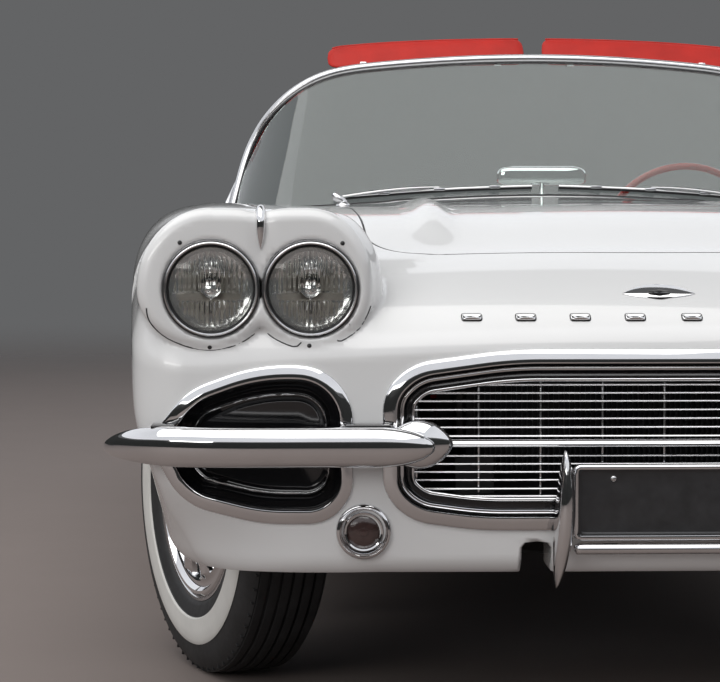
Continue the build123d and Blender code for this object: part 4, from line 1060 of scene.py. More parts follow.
class SCENE_OT_front_trim(bpy.types.Operator):
    """Makes the grille, the scoops, the front bumpers, the guards, the plate and the parking lamps"""

    bl_idname = "roadster.front_trim"
    bl_label = "Front trim"

    def execute(self, context):
        mouth = even(rounded(*MOUTH), 7)
        self.surround(mouth)
        self.grille(mouth)
        self.scoops()
        self.bumpers()
        self.guards()
        self.parking_lamps()
        self.badges()
        return {"FINISHED"}

    def surround(self, mouth):
        work = Stock()
        for steps, finish in (
            ([(-1.5, -3), (-1.5, 2), (0, 4.5), (4, 6.5), (12, 9), (19, 11), (21.5, 10.5), (22.6, 5),
              (22.8, -6)], "chrome"),
            ([(22.7, -4), (24, -9), (26, -9)], "gloss_black"),
            ([(26, -10), (26, -2), (27.5, 1.5), (30, 2.5), (32.5, 1.5), (33.5, -3)], "chrome"),
            ([(33.5, -2.5), (36, -7), (41, -11), (45, -13)], "gloss_black"),
            ([(45, -14), (45, -8), (46.5, -5.5), (49, -5), (51, -6.5), (52, -12), (53, -22), (53, -34)],
             "chrome"),
        ):
            work.rows(frame_rows(mouth, steps), finish)
        duct = frame_rows(mouth, [(47, -30), (47, -80), (70, -200)], -2170.0)
        work.rows(duct, "satin_black")
        work.piece("grille_mouth_trim", "chassis", "bright_metal", "grille_surround", sharp=50)

    def grille(self, mouth):
        inner = mouth - outward(mouth) * GRILLE_INSET
        work = Stock()
        half = sizes().bar_height / MM / 2
        for z in GRILLE_BARS:
            end = span_at(inner, z) + 2
            x = np.linspace(-end, end, 41)
            path = np.column_stack([x, GRILLE_FACE + bow_of(x), np.full(41, float(z))])
            work.tube(path, half * 1.9, "brushed", 10, flat=0.53)
        end = span_at(inner, MAIN_BAR) + 2
        x = np.linspace(-end, end, 61)
        section = ((6, -6.5), (-3, -7), (-9, -5), (-11.5, -1), (-10, 3), (-5, 6), (2, 7), (8, 7))
        rows = [np.column_stack([x, GRILLE_FACE - 1 + bow_of(x) + dy, np.full(61, MAIN_BAR + 0.5 + dz)])
                for dy, dz in section]
        work.rows(np.array(rows).transpose(1, 0, 2), "chrome", caps=True)
        for x in range(-400, 401, 100):
            low = 420.0 if abs(x) > 250 else 408.0
            high = 598.0 if abs(x) < 350 else 560.0
            y = GRILLE_FACE + 6 + bow_of(x)
            work.box((x - 1.6, y - 2, low), (x + 1.6, y + 8, high), "brushed", 0.8)
        work.piece("grille_bars", "chassis", "bright_metal", "grille", sharp=50)
        core = Stock().box((-306, -1962, 385), (306, -1904, 742), "satin_black", 4)
        for x in np.arange(-290, 291, 9.0):
            core.box((x - 1.2, -1972, 395), (x + 1.2, -1960, 732), "satin_black", 0)
        for z in (388, 738):
            core.box((-318, -1974, z - 16), (318, -1896, z + 16), "satin_black", 8)
        core.piece("radiator_core", "chassis", "black_metal")

    def scoops(self):
        line = even(rounded(*SCOOP), 6)
        width = sizes().trim_width / MM
        strip = [(-1, -4), (-1, 2), (0.5, 4), (4, 5.5), (width / 2, 8), (width - 3, 10.2), (width - 0.6, 9.4),
                 (width, 5), (width, -12)]
        trim = Stock().rows(frame_rows(line, strip, axis=SCOOP_AXIS), "chrome")
        trim.mirrored().piece("scoop_strips", "chassis", "bright_metal", "scoop_trims", sharp=50)
        bowl_steps = [(width + inset, forward) for inset, forward in (
            (-0.5, -3), (3, -9), (8, -17), (13, -25), (17, -27), (20, -24), (22.5, -19), (25, -18), (28, -20),
            (32, -23), (40, -24))]
        rows = frame_rows(line, bowl_steps, axis=SCOOP_AXIS)
        flat = np.clip(line[:, 0], *SCOOP_AXIS[:2])
        rows.append(np.column_stack([flat, rows[-1][:, 1] + 1, np.full(len(line), SCOOP_AXIS[2])]))
        bowl = Stock().rows(rows, "gloss_black")
        # A thin bright tube round the inside of each black bowl: a painted highlight where the bowl's rim
        # catches the light.
        highlight_bead = frame_rows(line, [(width + 26, -16.5)], axis=SCOOP_AXIS)[0]
        bowl.tube(np.vstack([highlight_bead, highlight_bead[:1]]), 1.5, "brushed", 6)
        bowl.mirrored().piece("scoop_blanks", "chassis", "black_metal", "scoop_bowls", sharp=60)

    def bumpers(self):
        path = curve([(377, -2214, 0), (390, -2221, 0), (420, -2223, 0), (560, -2223, 0), (680, -2221, 0),
                      (764, -2206, 0), (836, -2164, 0), (878, -2098, 0), (899, -2036, 0), (908, -1985, 0)], 120)
        length = lengths(path)
        path[:, 2] -= 15 * smooth(-2200, -1990, path[:, 1])
        height = BUMPER_TALL * np.sqrt(np.clip(1 - (1 - np.clip(length / 92, 0.0005, 1)) ** 2, 0, 1))
        height = height * (0.05 + 0.95 * np.clip((length[-1] - length) / 235, 0, 1) ** 0.62)
        depth = 21.0 * np.clip(height / BUMPER_TALL, 0, 1) ** 0.7
        ahead = headings(path)
        out = np.column_stack([ahead[:, 1], -ahead[:, 0], ahead[:, 2]])
        front, tall = blade_section(30, 1.25, 0.5, 0.55, 0.82)
        rows = [p + (0, 0, BUMPER_HEIGHT) + np.outer(front * d, o) + np.outer(tall * h, (0, 0, 1))
                for p, o, d, h in zip(path, out, depth, height)]
        work = Stock().rows([r[::-1] for r in rows], "chrome", caps=True)
        boss = shifted(345, -2203, 503) @ rotated(90, "Y") @ Matrix.Scale(0.62, 4, (0, 1, 0))
        profile = [(39 * math.sin(k * math.pi) ** 0.62, 108 * k) for k in np.linspace(0.002, 0.96, 26)]
        work.turned(profile[::-1], "chrome", 48, boss)
        for low, high, finish in (
            ((472, -2206, 486), (500, -2160, 512), "chassis_black"),
            ((444, -2204, 519), (516, -2150, 534), "gloss_black"),
            ((786, -2184, 518), (824, -2120, 533), "gloss_black"),
            # The thin black strip between the two dark blocks is a painted shadow line in the gap above the
            # bumper blade.
            ((510, -2196, 522), (790, -2160, 528), "gloss_black"),
            ((704, -2206, 486), (732, -2140, 512), "chassis_black"),
        ):
            work.box(low, high, finish, 2)
        work.tube([(898, -2040, 488), (850, -2044, 490)], 6, "chassis_black", 10)
        work.mirrored().piece("front_bumper_blades", "chassis", "bright_metal", "front_bumpers", sharp=50)

    def guards(self):
        z = np.linspace(GUARD_LOW, GUARD_HIGH, 45)
        t = (z - GUARD_LOW) / (GUARD_HIGH - GUARD_LOW)
        taper = np.sin(np.clip(t, 0.002, 0.998) * math.pi)
        width, depth = 16.5 * taper**0.62, 26 * taper**0.5
        y = -2214 + 16 * (1 - t) ** 3 - 3 * t
        lean = 165 + 15 * (1 - t) ** 2.2 + 3 * t**3
        out, across = blade_section(24, 1.2, 1.0, 0.9, 1.0)
        work = Stock().rows([np.column_stack([m + w * across, b - out * d, np.full(24, h)])
                             for w, d, b, h, m in zip(width, depth, y, z, lean)], "chrome", caps=True)
        work.box((167, -2196, 330), (181, -2160, 352), "chassis_black", 3)
        work.mirrored()
        rim = [(-2, -4), (-2, 4), (0, 7), (3, 8), (6, 7), (7, 3), (7, -2)]
        work.rows(frame_rows(rectangle(-152, 152, 350, 468, 9, 8), rim, PLATE_BACK), "chrome")
        bar = [(0, -6), (0, 4), (2, 8), (5, 10), (8.2, 11)]
        work.rows(frame_rows(rectangle(-152, 152, 326, 343, 6, 8), bar, PLATE_BACK), "chrome", caps=True)
        face = [(-4, -3), (0, 1.5), (1.5, 3), (5, 3.2), (6.5, 1.8), (8, 1.6)]
        rows = frame_rows(rectangle(-147, 147, 354, 464, 12, 6), face, PLATE_BACK)
        middle = np.array([0, rows[-1][0, 1], PLATE_MIDDLE])
        work.rows(rows + [middle + (rows[-1] - middle) * k for k in (0.6, 0.001)], "plate_black")
        for x in (-PLATE_SCREW_X, PLATE_SCREW_X):
            work.turned([(0, 3.4), (3, 3.0), (5, 1.5), (5.4, 0)], "brushed", 18,
                        towards(AHEAD, (x, -2198, 447)))
            work.box((x - 12, -2192, 352), (x + 12, -2158, 360), "chassis_black", 2)
        work.piece("plate_frame_and_guards", "chassis", "bright_metal", "front_guards", sharp=50)

    def parking_lamps(self):
        work = Stock()
        y = float(front_of(PARKING_X, PARKING_Z)[0])
        place = towards(AHEAD, (PARKING_X, y, PARKING_Z))
        work.turned([(45, -4), (45, 3), (43, 7), (39, 9), (36, 6), (35, 0), (33.5, -2), (32.5, 3), (30.5, 6),
                     (28, 5), (27, 0), (27, -8)], "chrome", 64, place)
        work.turned([(27.5, -8), (27, 0), (22, 3.5), (14, 5.5), (5, 6.3), (0.01, 6.4)], "smoked", 56, place)
        work.turned([(7, 5.2), (6.4, 8), (0.01, 9)], "smoked", 24, place)
        for angle in (35, 215):
            screw = towards(AHEAD, (PARKING_X + 34.5 * math.cos(math.radians(angle)), y,
                                    PARKING_Z + 34.5 * math.sin(math.radians(angle))))
            work.turned([(2.8, 3), (2.4, 4.6), (0.01, 5)], "brushed", 12, screw)
        work.mirrored().piece("parking_lamp_pair", "chassis", "lamp_glass", "parking_lamps")

    def badges(self):
        """A plain bright bar and eight plain dashes on the nose, and the two spears on the lamp hoods."""
        work = Stock()
        self.emblem(work)
        for x in DASHES:
            line = rectangle(x - 15.5, x + 15.5, 697.5, 706.5, 3.2, 2.5, 5)
            rows = frame_rows(line, [(0, -2), (0, 2.5), (0.8, 3.6), (2.6, 4.2)])
            last = rows[-1]
            rows.append(np.column_stack([x + (last[:, 0] - x) * 0.4, last[:, 1] - 0.2,
                                         DASH_Z + (last[:, 2] - DASH_Z) * 0.1]))
            work.take(Stock().rows(rows, "chrome").mirrored())
            # A black plate a little larger than each dash, under it: a painted shadow gap round the dash.
            base = rectangle(x - 17.3, x + 17.3, 695.5, 708.2, 4, 3, 5)
            rows = frame_rows(base, [(0, -2), (0, 0.7), (1.5, 1.0), (4, 1.0)])
            work.take(Stock().rows(rows, "gloss_black").mirrored())
        spear = curve([(650, -2158, 812), (650, -2155, 832), (650, -2146, 854), (650, -2124, 872),
                       (650, -2085, 880), (650, -2040, 880)], 40)
        at, normal = settle(body_field, spear, 6)
        t = np.linspace(0, 1, 40)
        taper = np.sin(np.clip(t * 1.02, 0.01, 1) * math.pi) ** 0.75
        radius = 10.5 * np.clip(taper, 0.06, 1) * (1.12 - 0.5 * t)
        work.take(Stock().tube(at + normal * 2.5, radius, "chrome", 18, flat=0.85, up=LEFT).mirrored())
        work.piece("nose_bars_and_spears", "chassis", "bright_metal", sharp=60)

    def emblem(self, work):
        x = np.linspace(-EMBLEM_HALF, EMBLEM_HALF, 41)
        z = EMBLEM_Z - 4 * (x / EMBLEM_HALF) ** 2
        wide = EMBLEM_TALL * np.clip(1 - np.abs(x / EMBLEM_HALF) ** 2.4, 0.02, 1)
        rows = []
        for k in np.linspace(-1, 1, 13):
            height = z + wide * k
            rise = 1.5 + 5.5 * (1 - abs(k) ** 2.2) * np.clip(wide / EMBLEM_TALL, 0, 1)
            rows.append(np.column_stack([x, front_of(x, height) - rise, height]))
        work.rows(rows, "chrome", closed=False)
        low, high = EMBLEM_Z - 3, EMBLEM_Z - 2
        base = even(rounded([(-64, low), (0, low - 10.5), (64, low), (0, low + 15)], [3, 40, 3, 40], 8), 4)
        inlay = even(rounded([(-30, high), (0, high - 4), (30, high), (0, high + 5)], [2, 20, 2, 20], 6), 3)
        for edge, lift in ((base, 1.2), (inlay, 8.0)):
            rows = frame_rows(edge, [(0, lift - 1.5), (0, lift), (1, lift + 0.4)])
            middle = edge.mean(0)
            front = float(front_of([0], [middle[1]])[0]) - lift - 0.5
            centre = np.repeat([[0.0, front, middle[1]]], len(edge), axis=0)
            rows += [rows[-1] * 0.4 + centre * 0.6, centre + (rows[-1] - centre) * 0.01]
            work.rows(rows, "gloss_black")


LENS_RADIUS, CROSS_PITCH = 67.0, 17.0


class SCENE_OT_lamps(bpy.types.Operator):
    """Makes the four headlamps with their rings, reflectors and fluted glass"""

    bl_idname = "roadster.lamps"
    bl_label = "Headlamps"

    def execute(self, context):
        rings, glass, inside = Stock(), Stock(), Stock()
        for x in LAMPS:
            place = towards(AHEAD, (x, POD_FRONT, LAMP_HEIGHT))
            for profile, finish in (
                ([(80, -34), (79, -6), (78, 0), (76, 1.5), (73.5, 3), (71.4, 2.4), (70.4, -1), (70.2, -6)],
                 "brushed"),
                ([(78.6, -3), (77.6, 1.2), (75.6, 2.2)], "satin_black"),
                ([(70.6, -3), (69.8, -1.6), (68.2, -3), (67.4, -7), (67.2, -14)], "satin_black"),
            ):
                rings.turned(profile, finish, 96, place)
            self.lens(glass, x)
            for profile, finish, steps in (
                ([(67, -9), (64, -16), (57, -27), (46, -40), (32, -51), (18, -58), (9, -60), (0.01, -60)],
                 "reflector", 72),
                ([(15, -22), (14.5, -18), (11, -13.5), (5, -11), (0.01, -10.5)], "reflector", 36),
                # The dark cap behind the small reflector stands in for a bulb shield; it is dark to darken the
                # lamp's middle, painted shade.
                ([(15, -22), (13.8, -22), (13.5, -19), (0.01, -14)], "dial", 36),
                ([(5.5, -40), (6, -30), (4.5, -25), (0.01, -23)], "bulb", 24),
            ):
                inside.turned(profile, finish, steps, place)
            for wide, back, deep, low, high, finish, edge in (
                # The dark block above the bulb darkens the inside of the lamp: painted shade.
                (1.6, 20, 24, -46, -10, "brushed", 0.5), (13, 19, 30, 8, 17, "dial", 1),
            ):
                inside.box((x - wide, POD_FRONT + back, LAMP_HEIGHT + low),
                           (x + wide, POD_FRONT + deep, LAMP_HEIGHT + high), finish, edge)
        rings.mirrored().piece("headlamp_bezels", "chassis", "bright_metal", "headlamp_rings")
        glass.mirrored().piece("headlamp_lenses", "chassis", "lamp_glass", "headlamps", sharp=60)
        inside.mirrored().piece("headlamp_reflectors", "chassis", "bright_metal", sharp=60)
        return {"FINISHED"}

    def lens(self, stock, x):
        """Glass with a smooth domed front and upright flutes on its back."""
        pitch = 2 * LENS_RADIUS / sizes().flutes
        angles = ring_angles(132)
        front, back = [], []
        for r in np.linspace(0.05, LENS_RADIUS, 34):
            px, pz = r * np.cos(angles), r * np.sin(angles)
            y = np.full(132, POD_FRONT - 3 + r**2 / 470.0)
            share = smooth(6, 9, np.abs(pz + 12)) * smooth(66, 60, r)
            fine = np.where(pz > 24, 1.0, 0.62)
            wave = (0.5 - 0.5 * np.cos(px * 2 * math.pi / pitch)) ** 0.7 * 3.1 * share * fine
            cross = (0.5 - 0.5 * np.cos(pz * 2 * math.pi / CROSS_PITCH)) * 0.5 * share
            front.append(np.column_stack([x + px, y, LAMP_HEIGHT + pz])[::-1])
            back.append(np.column_stack([x + px, y + 2.6 + wave + cross, LAMP_HEIGHT + pz])[::-1])
        stock.rows(front + back[::-1], "lamp_glass")


WHEELS = (("front", "left", 1, "wheel_fl"), ("front", "right", -1, "wheel_fr"),
          ("rear", "left", 1, "wheel_rl"), ("rear", "right", -1, "wheel_rr"))
TYRE_RADIUS, KINGPIN, STEER = 345.0, 640.0, 22.0
FRONT_TRACK, REAR_TRACK = 1448.0, 1499.0
FIN_PITCH = 36.0
SHOULDER_BLOCKS = 72


def wheel_place(end, side):
    """Turns a form made round Z, with its outer face up, to a wheel's place at rest."""
    out = rotated(90 * side, "Y")
    if end == "rear":
        return shifted(side * REAR_TRACK / 2, AXLES[1], TYRE_RADIUS) @ out
    offset = shifted(side * (FRONT_TRACK / 2 - KINGPIN), 0, TYRE_RADIUS)
    return shifted(side * KINGPIN, AXLES[0], 0) @ rotated(STEER) @ offset @ out


class SCENE_OT_wheels(bpy.types.Operator):
    """Makes the four tyres with their white bands, the rims and the bright covers"""

    bl_idname = "roadster.wheels"
    bl_label = "Wheels"

    def execute(self, context):
        for end, side, sign, body in WHEELS:
            at, place = f"{end}_{side}", wheel_place(end, sign)
            self.tyre(place).piece(f"tyre_body_{at}", body, "tyre_rubber", f"tyre_{at}", sharp=32)
            self.wheel(place).piece(f"wheel_cover_{at}", body, "wheel_metal", f"wheel_{at}", sharp=32)
        return {"FINISHED"}

    def tyre(self, place):
        low, high = sizes().whitewall_inner / MM, sizes().whitewall_outer / MM
        side = [(204, 67), (209, 73), (216, 77), (low - 1.2, 81), (low - 0.6, 82.4), (low, 83)]
        white = [(low, 83), (low + 0.6, 83.8), (240, 86.2), (262, 87.2), (280, 86), (high - 1, 83.2),
                 (high, 82.4)]
        shoulder = [(high, 82.4), (high + 0.8, 81.2), (308, 79.8), (318, 76.5), (327, 72.5), (334, 67.5),
                    (338.5, 63.5)]
        tread = []
        for x0, x1 in ((62, 46), (41, 24), (19, 2.5), (-2.5, -19), (-24, -41), (-46, -62)):
            crown = TYRE_RADIUS - (max(abs(x0), abs(x1)) / 62) ** 2 * 4
            tread += [(crown - 6.5, x0 + 0.4), (crown, x0 - 0.6), (crown + 0.5, (x0 + x1) / 2),
                      (crown, x1 + 0.6), (crown - 6.5, x1 - 0.4)]
        far = [(338.5, -63.5), (327, -72.5), (308, -79.8), (280, -86), (250, -87), (222, -81), (204, -67)]
        work = Stock()
        for profile, finish in ((side, "rubber"), (white, "whitewall"), (shoulder, "rubber"),
                                (shoulder[-1:] + tread + far, "rubber")):
            work.turned(profile[::-1], finish, 112, place)
        upright = rotated(90, "X") @ Matrix.Scale(-1, 4, (0, 0, 1))
        for i in range(SHOULDER_BLOCKS):
            block = place @ rotated(i * 360 / SHOULDER_BLOCKS) @ upright
            work.box((330, 62.5, -1.6), (338.2, 69.5, 1.6), "rubber", 0, block)
        return work

    def wheel(self, place):
        work = Stock()
        for profile, finish, steps in (
            ([(196, 66), (201, 71), (206, 72), (207, 69), (203.5, 66), (198, 60), (198, 40)], "brushed", 96),
            ([(198, 44), (190, 40), (186, 0), (190, -52), (203, -60), (203, -66)], "satin_black", 72),
            ([(0.01, 26), (20, 26), (90, 26), (150, 10), (186, 0)], "satin_black", 64),
            ([(190, -50), (140, -46), (40, -44), (20, -44)], "satin_black", 48),
        ):
            work.turned(profile, finish, steps, place)
        self.cover(work, place)
        return work

    def cover(self, work, place):
        """The bright cover: ten fins with dark windows between them, round a domed middle."""
        angles = ring_angles(240)
        degrees = np.degrees(angles)
        profile = [(197, 60), (198.5, 66), (197, 71), (193, 74), (187, 74), (184, 70), (180, 65.5), (174, 64),
                   (168, 65.5), (162, 69), (158, 71.5), (150, 72.5), (141, 73.5), (132, 75), (123, 77.5),
                   (115, 80.5), (108, 83.5), (102, 84), (98, 81), (92, 79.5), (86, 80.5), (80, 83.5),
                   (72, 86), (62, 87.5), (54, 87.5), (48, 85), (44, 86), (40, 91), (34, 97), (26, 101),
                   (16, 103), (7, 103.8), (0.05, 104)]

        def off_window(shift):
            """Degrees from the middle of the nearest window."""
            return np.abs((degrees + shift + FIN_PITCH / 2) % FIN_PITCH - FIN_PITCH / 2)

        rows, dark = [], []
        for i, (r, h) in enumerate(profile):
            window = smooth(9.5, 7.6, off_window(0)) * band(r, 112, 117, 156, 161)
            rib = smooth(13.0, 16.5, off_window(0)) * band(r, 106, 114, 158, 164)
            lift = h - 17 * window + 4.5 * rib
            rows.append(moved(np.column_stack([r * np.cos(angles), r * np.sin(angles), lift]), place))
            if i:
                dark.append((off_window(0.75) < 7.8) & (118 < (profile[i - 1][0] + r) / 2 < 155))
        dark = np.concatenate(dark)
        shape = Stock().rows(rows)
        faces = np.array(shape.faces)
        work.add(shape.points, faces[~dark].tolist(), "chrome")
        work.add(shape.points, faces[dark].tolist(), "gloss_black")


def top_of(x, y):
    """The height of the body's skin at each x and y."""
    x, y = np.abs(np.atleast_1d(x).astype(float)), np.atleast_1d(y).astype(float)
    a, b = np.full(len(x), TOP_START), np.full(len(x), TOP_STOP)
    for _ in range(16):
        middle = (a + b) / 2
        inside = body_field(np.column_stack([x, y, middle])) < 0
        a, b = np.where(inside, middle, a), np.where(inside, b, middle)
    return a


SCREEN_BASE = open_line([(-760, -385), (-694, -572), (0, -630), (694, -572), (760, -385)], [215, 2500, 215])
SCREEN_TOP = open_line([(-644, -94), (-563, -256), (0, -300), (563, -256), (644, -94)], [190, 2500, 190])
SCREEN_LOW, SCREEN_HIGH = 850.0, 1345.0
SCREEN_HALF, SCREEN_TAPER = 752.0, 116.0
WIPER_X, WIPER_Y = 478.0, -650.0
BLADE_OUTER, BLADE_INNER = 470.0, 32.0
MIRROR_Z, MIRROR_FACE = 984.0, -484.0


def screen_share(z):
    """How far up the windscreen a height lies: 0 at its foot and 1 above its top."""
    return (z - SCREEN_LOW) / (SCREEN_HIGH - SCREEN_LOW)


def screen_at(x, z):
    """The y of the windscreen's middle surface at each x and z, and its outward normal."""
    x, z = np.atleast_1d(x).astype(float), np.atleast_1d(z).astype(float)

    def depth(x, z):
        lines = [SCREEN_BASE * (1 - w) + SCREEN_TOP * w for w in screen_share(z)]
        return np.array([np.interp(a, line[:, 0], line[:, 1]) for a, line in zip(x, lines)])

    y = depth(x, z)
    reach = SCREEN_HALF - SCREEN_TAPER * screen_share(z)
    x = np.clip(x, -reach, reach)
    dx = (depth(x + 4, z) - depth(x - 4, z)) / 8
    dz = (depth(x, z + 4) - depth(x, z - 4)) / 8
    return y, unit(np.column_stack([dx, -np.ones(len(x)), dz]))


class SCENE_OT_windscreen(bpy.types.Operator):
    """Makes the wrapped windscreen in its frame, the wipers and the mirror"""

    bl_idname = "roadster.windscreen"
    bl_label = "Windscreen"

    def execute(self, context):
        edge = open_line([(764, 872), (738, 990), (612, 1244), (0, 1305), (-612, 1244), (-738, 990),
                          (-764, 872)], [320, 300, 4000, 300, 320], 12)
        edge = edge[np.r_[True, np.linalg.norm(np.diff(edge, axis=0), axis=1) > 0.5]]
        reach = SCREEN_HALF + 5 - SCREEN_TAPER * screen_share(edge[:, 1])
        edge[:, 0] = np.clip(edge[:, 0], -reach, reach)
        span = lengths(edge)
        at = np.linspace(0, span[-1], 230)
        edge = np.column_stack([np.interp(at, span, edge[:, k]) for k in range(2)])
        for _ in range(40):
            edge[1:-1] = (edge[:-2] + 2 * edge[1:-1] + edge[2:]) / 4
        y, normal = screen_at(edge[:, 0], edge[:, 1])
        path = np.column_stack([edge[:, 0], y, edge[:, 1]])
        inward = unit(np.cross(headings(path), normal))
        inward *= np.sign((inward * (np.array([0, 0, 1000]) - path)).sum())
        work = Stock()
        for shape, finish in (
            ([(-1, -8), (0, 4), (3, 9), (8, 11.5), (14, 11), (18, 7.5), (20, 5.5), (21, 3.2), (21, -4),
              (18, -9), (10, -12), (3, -12)], "brushed"),
            ([(18, 4.2), (23.5, 4.0), (25.5, 2.4), (25.5, -3), (23, -4.6), (18, -5)], "satin_black"),
        ):
            deep, high = np.array(shape, float)[::-1].T
            work.rows([p + np.outer(deep, i) + np.outer(high, n) for p, i, n in zip(path, inward, normal)],
                      finish, caps=True)
        x = np.linspace(-700, 700, 61)
        foot_y = np.interp(x, SCREEN_BASE[:, 0], SCREEN_BASE[:, 1]) - 4
        foot_z = top_of(x, foot_y - 12)
        foot = np.column_stack([x, foot_y - 8, foot_z + 3])
        work.tube(foot, 8.0, "satin_black", 10, flat=0.6)
        work.tube(foot + (0, -9, -1.5), 5.0, "brushed", 8, flat=0.6)
        work.piece("screen_frame", "chassis", "bright_metal", "windscreen_frame", sharp=50)
        self.glass()
        self.wipers()
        self.mirror()
        return {"FINISHED"}

    def glass(self):
        inner = open_line([(744, 800), (718, 985), (600, 1226), (0, 1286), (-600, 1226), (-718, 985),
                           (-744, 800)], [310, 290, 4000, 290, 310], 12)
        order = np.argsort(inner[:, 0])
        end = np.linspace(600, 738, 22)
        xs = np.concatenate([-end[::-1], np.linspace(-590, 590, 60), end])
        top = np.interp(xs, inner[order, 0], inner[order, 1])
        foot_y = np.interp(xs, SCREEN_BASE[:, 0], SCREEN_BASE[:, 1])
        low = np.minimum(top_of(xs, foot_y) - 2, top - 10)
        front, back = [], []
        for t in np.linspace(0, 1, 22):
            z = low + (top - low) * t
            y, normal = screen_at(xs, z)
            middle = np.column_stack([xs, y, z])
            front.append(middle + normal * 2.6)
            back.append(middle - normal * 2.6)
        n = len(xs)
        work = Stock()
        rows = [np.vstack([f, b[::-1]]) for f, b in zip(front, back)]
        work.rows(rows, "glass")
        for row, flip in ((rows[0], False), (rows[-1], True)):
            faces = [(i, i + 1, 2 * n - 2 - i, 2 * n - 1 - i) for i in range(n - 1)]
            work.add(row, [f if flip else f[::-1] for f in faces], "glass")
        work.piece("screen_pane", "chassis", "clear_glass", "windscreen", sharp=50)

    def wipers(self):
        work = Stock()
        base_z = float(top_of([486], [-648])[0])
        work.turned([(9, 14), (10, 10), (15, 7), (19, 2), (19, -3)], "brushed", 28,
                    shifted(WIPER_X, WIPER_Y, base_z))
        work.tube([(474, -650, base_z + 6), (484, -651, base_z + 15), (496, -650, base_z + 22),
                   (500, -648, base_z + 28)], [8, 9.5, 10, 7], "brushed", 14)
        x = np.linspace(500, 250, 26)
        t = (500 - x) / 250
        z = 930 + 26 * np.sin(t * math.pi / 2)
        y, _ = screen_at(x, z)
        work.tube(np.column_stack([x, y - 17 - 6 * np.sin(t * math.pi), z]), 7.5 - 3.2 * t, "brushed", 10,
                  flat=0.6)

        def blade(x):
            """The windscreen's y and the blade's height at each x."""
            t = (BLADE_OUTER - x) / (BLADE_OUTER - BLADE_INNER)
            z = 934 + 25 * t + 4 * np.sin(t * math.pi)
            return screen_at(x, z)[0], z

        x = np.linspace(BLADE_OUTER, BLADE_INNER, 40)
        y, z = blade(x)
        work.tube(np.column_stack([x, y - 12, z]), 4.4, "brushed", 8, flat=0.7)
        work.tube(np.column_stack([x, y - 7, z - 4.5]), 3.4, "satin_black", 6)
        clips = np.array([120.0, 250.0, 380.0])
        for x, y, z in zip(clips, *blade(clips)):
            work.box((x - 13, y - 19, z - 3.5), (x + 13, y - 9, z + 3.5), "brushed", 1.5)
        work.mirrored().piece("wiper_arms", "chassis", "bright_metal", "wipers")

    def mirror(self):
        work = Stock()
        x = np.linspace(-1, 1, 33)
        rim = np.sqrt(np.clip(1 - np.abs(x) ** 7, 0, 1))
        rows = []
        for k in np.linspace(-1, 1, 17):
            wide = 107 * (1 - 0.10 * max(k, 0) ** 2) * (1 - 0.22 * abs(k) ** 6)
            depth = 14 * (1 - abs(k) ** 3) ** 0.5 + 1
            front = np.column_stack([x * wide, MIRROR_FACE - depth * rim * 0.9,
                                     np.full(33, MIRROR_Z + 23 * k)])
            back = np.column_stack([front[:, 0], np.full(33, MIRROR_FACE + 4), front[:, 2]])
            rows.append(np.vstack([front, back[::-1]]))
        work.rows(rows, "chrome", caps=True)
        foot = float(top_of([0], [-500])[0])
        work.tube([(0, -487, 970), (0, -492, 950), (0, -498, 930), (0, -500, foot - 2)], [6, 6.5, 7, 9],
                  "chrome", 14, up=LEFT)
        work.turned([(9, 9), (17, 6), (23, 2), (24, -2)], "chrome", 28, shifted(0, -500, foot))
        work.piece("cowl_mirror", "chassis", "bright_metal", "mirror")


PAD_STATIONS, PAD_INSET, PAD_SWELL = 49, 24.0, 5.0
SEWN_SPAN, GROOVE_DEPTH = 0.82, 8.0


def pad_rows(outline, width, pleats, top):
    """A stuffed pad: a closed side outline (y, z) carried across x and drawn in at its ends.

    The channels are sewn where top is one."""
    normal = outward(outline)
    rows = []
    for u in np.linspace(-1, 1, PAD_STATIONS):
        shrink = PAD_INSET * (1 - max(1 - abs(u) ** 5.5, 0) ** 0.5)
        line = outline + normal * (PAD_SWELL * math.cos(u * math.pi / 2) - shrink)
        phase = (u * SEWN_SPAN + 1) / 2 * pleats
        groove = 1 - abs(math.sin(phase * math.pi)) ** 0.55 if abs(u) < SEWN_SPAN else 0.0
        line = line - normal * (groove * GROOVE_DEPTH * top)[:, None]
        rows.append(np.column_stack([np.full(len(line), u * width / 2), line]))
    return rows


def soft(piece):
    """Adds one smooth subdivision to a padded piece and applies it."""
    sub = piece.modifiers.new("Subdivision", "SUBSURF")
    sub.levels = sub.render_levels = 1
    bpy.context.view_layer.update()
    made = bpy.data.meshes.new_from_object(piece.evaluated_get(bpy.context.evaluated_depsgraph_get()))
    piece.modifiers.clear()
    piece.data = made
    return piece


SEAT_X = 386.0
VISOR_INNER, VISOR_WIDTH, VISOR_LEAN = 22.0, 486.0, 0.68
DASH_HALF = 750.0
DIAL_AT, SMALL_DIALS = (395, -352, 800), ((262, 786), (528, 786), (232, 742), (558, 742))
RIM_RADIUS, GRIP_RADIUS = 196.0, 9.0
CARD_LOW, CARD_X, CARD_FRONT, CARD_LENGTH = 362.0, 757.0, -436.0, 941.0
HUB, TILT = (395.0, -150.0, 838.0), 24.0


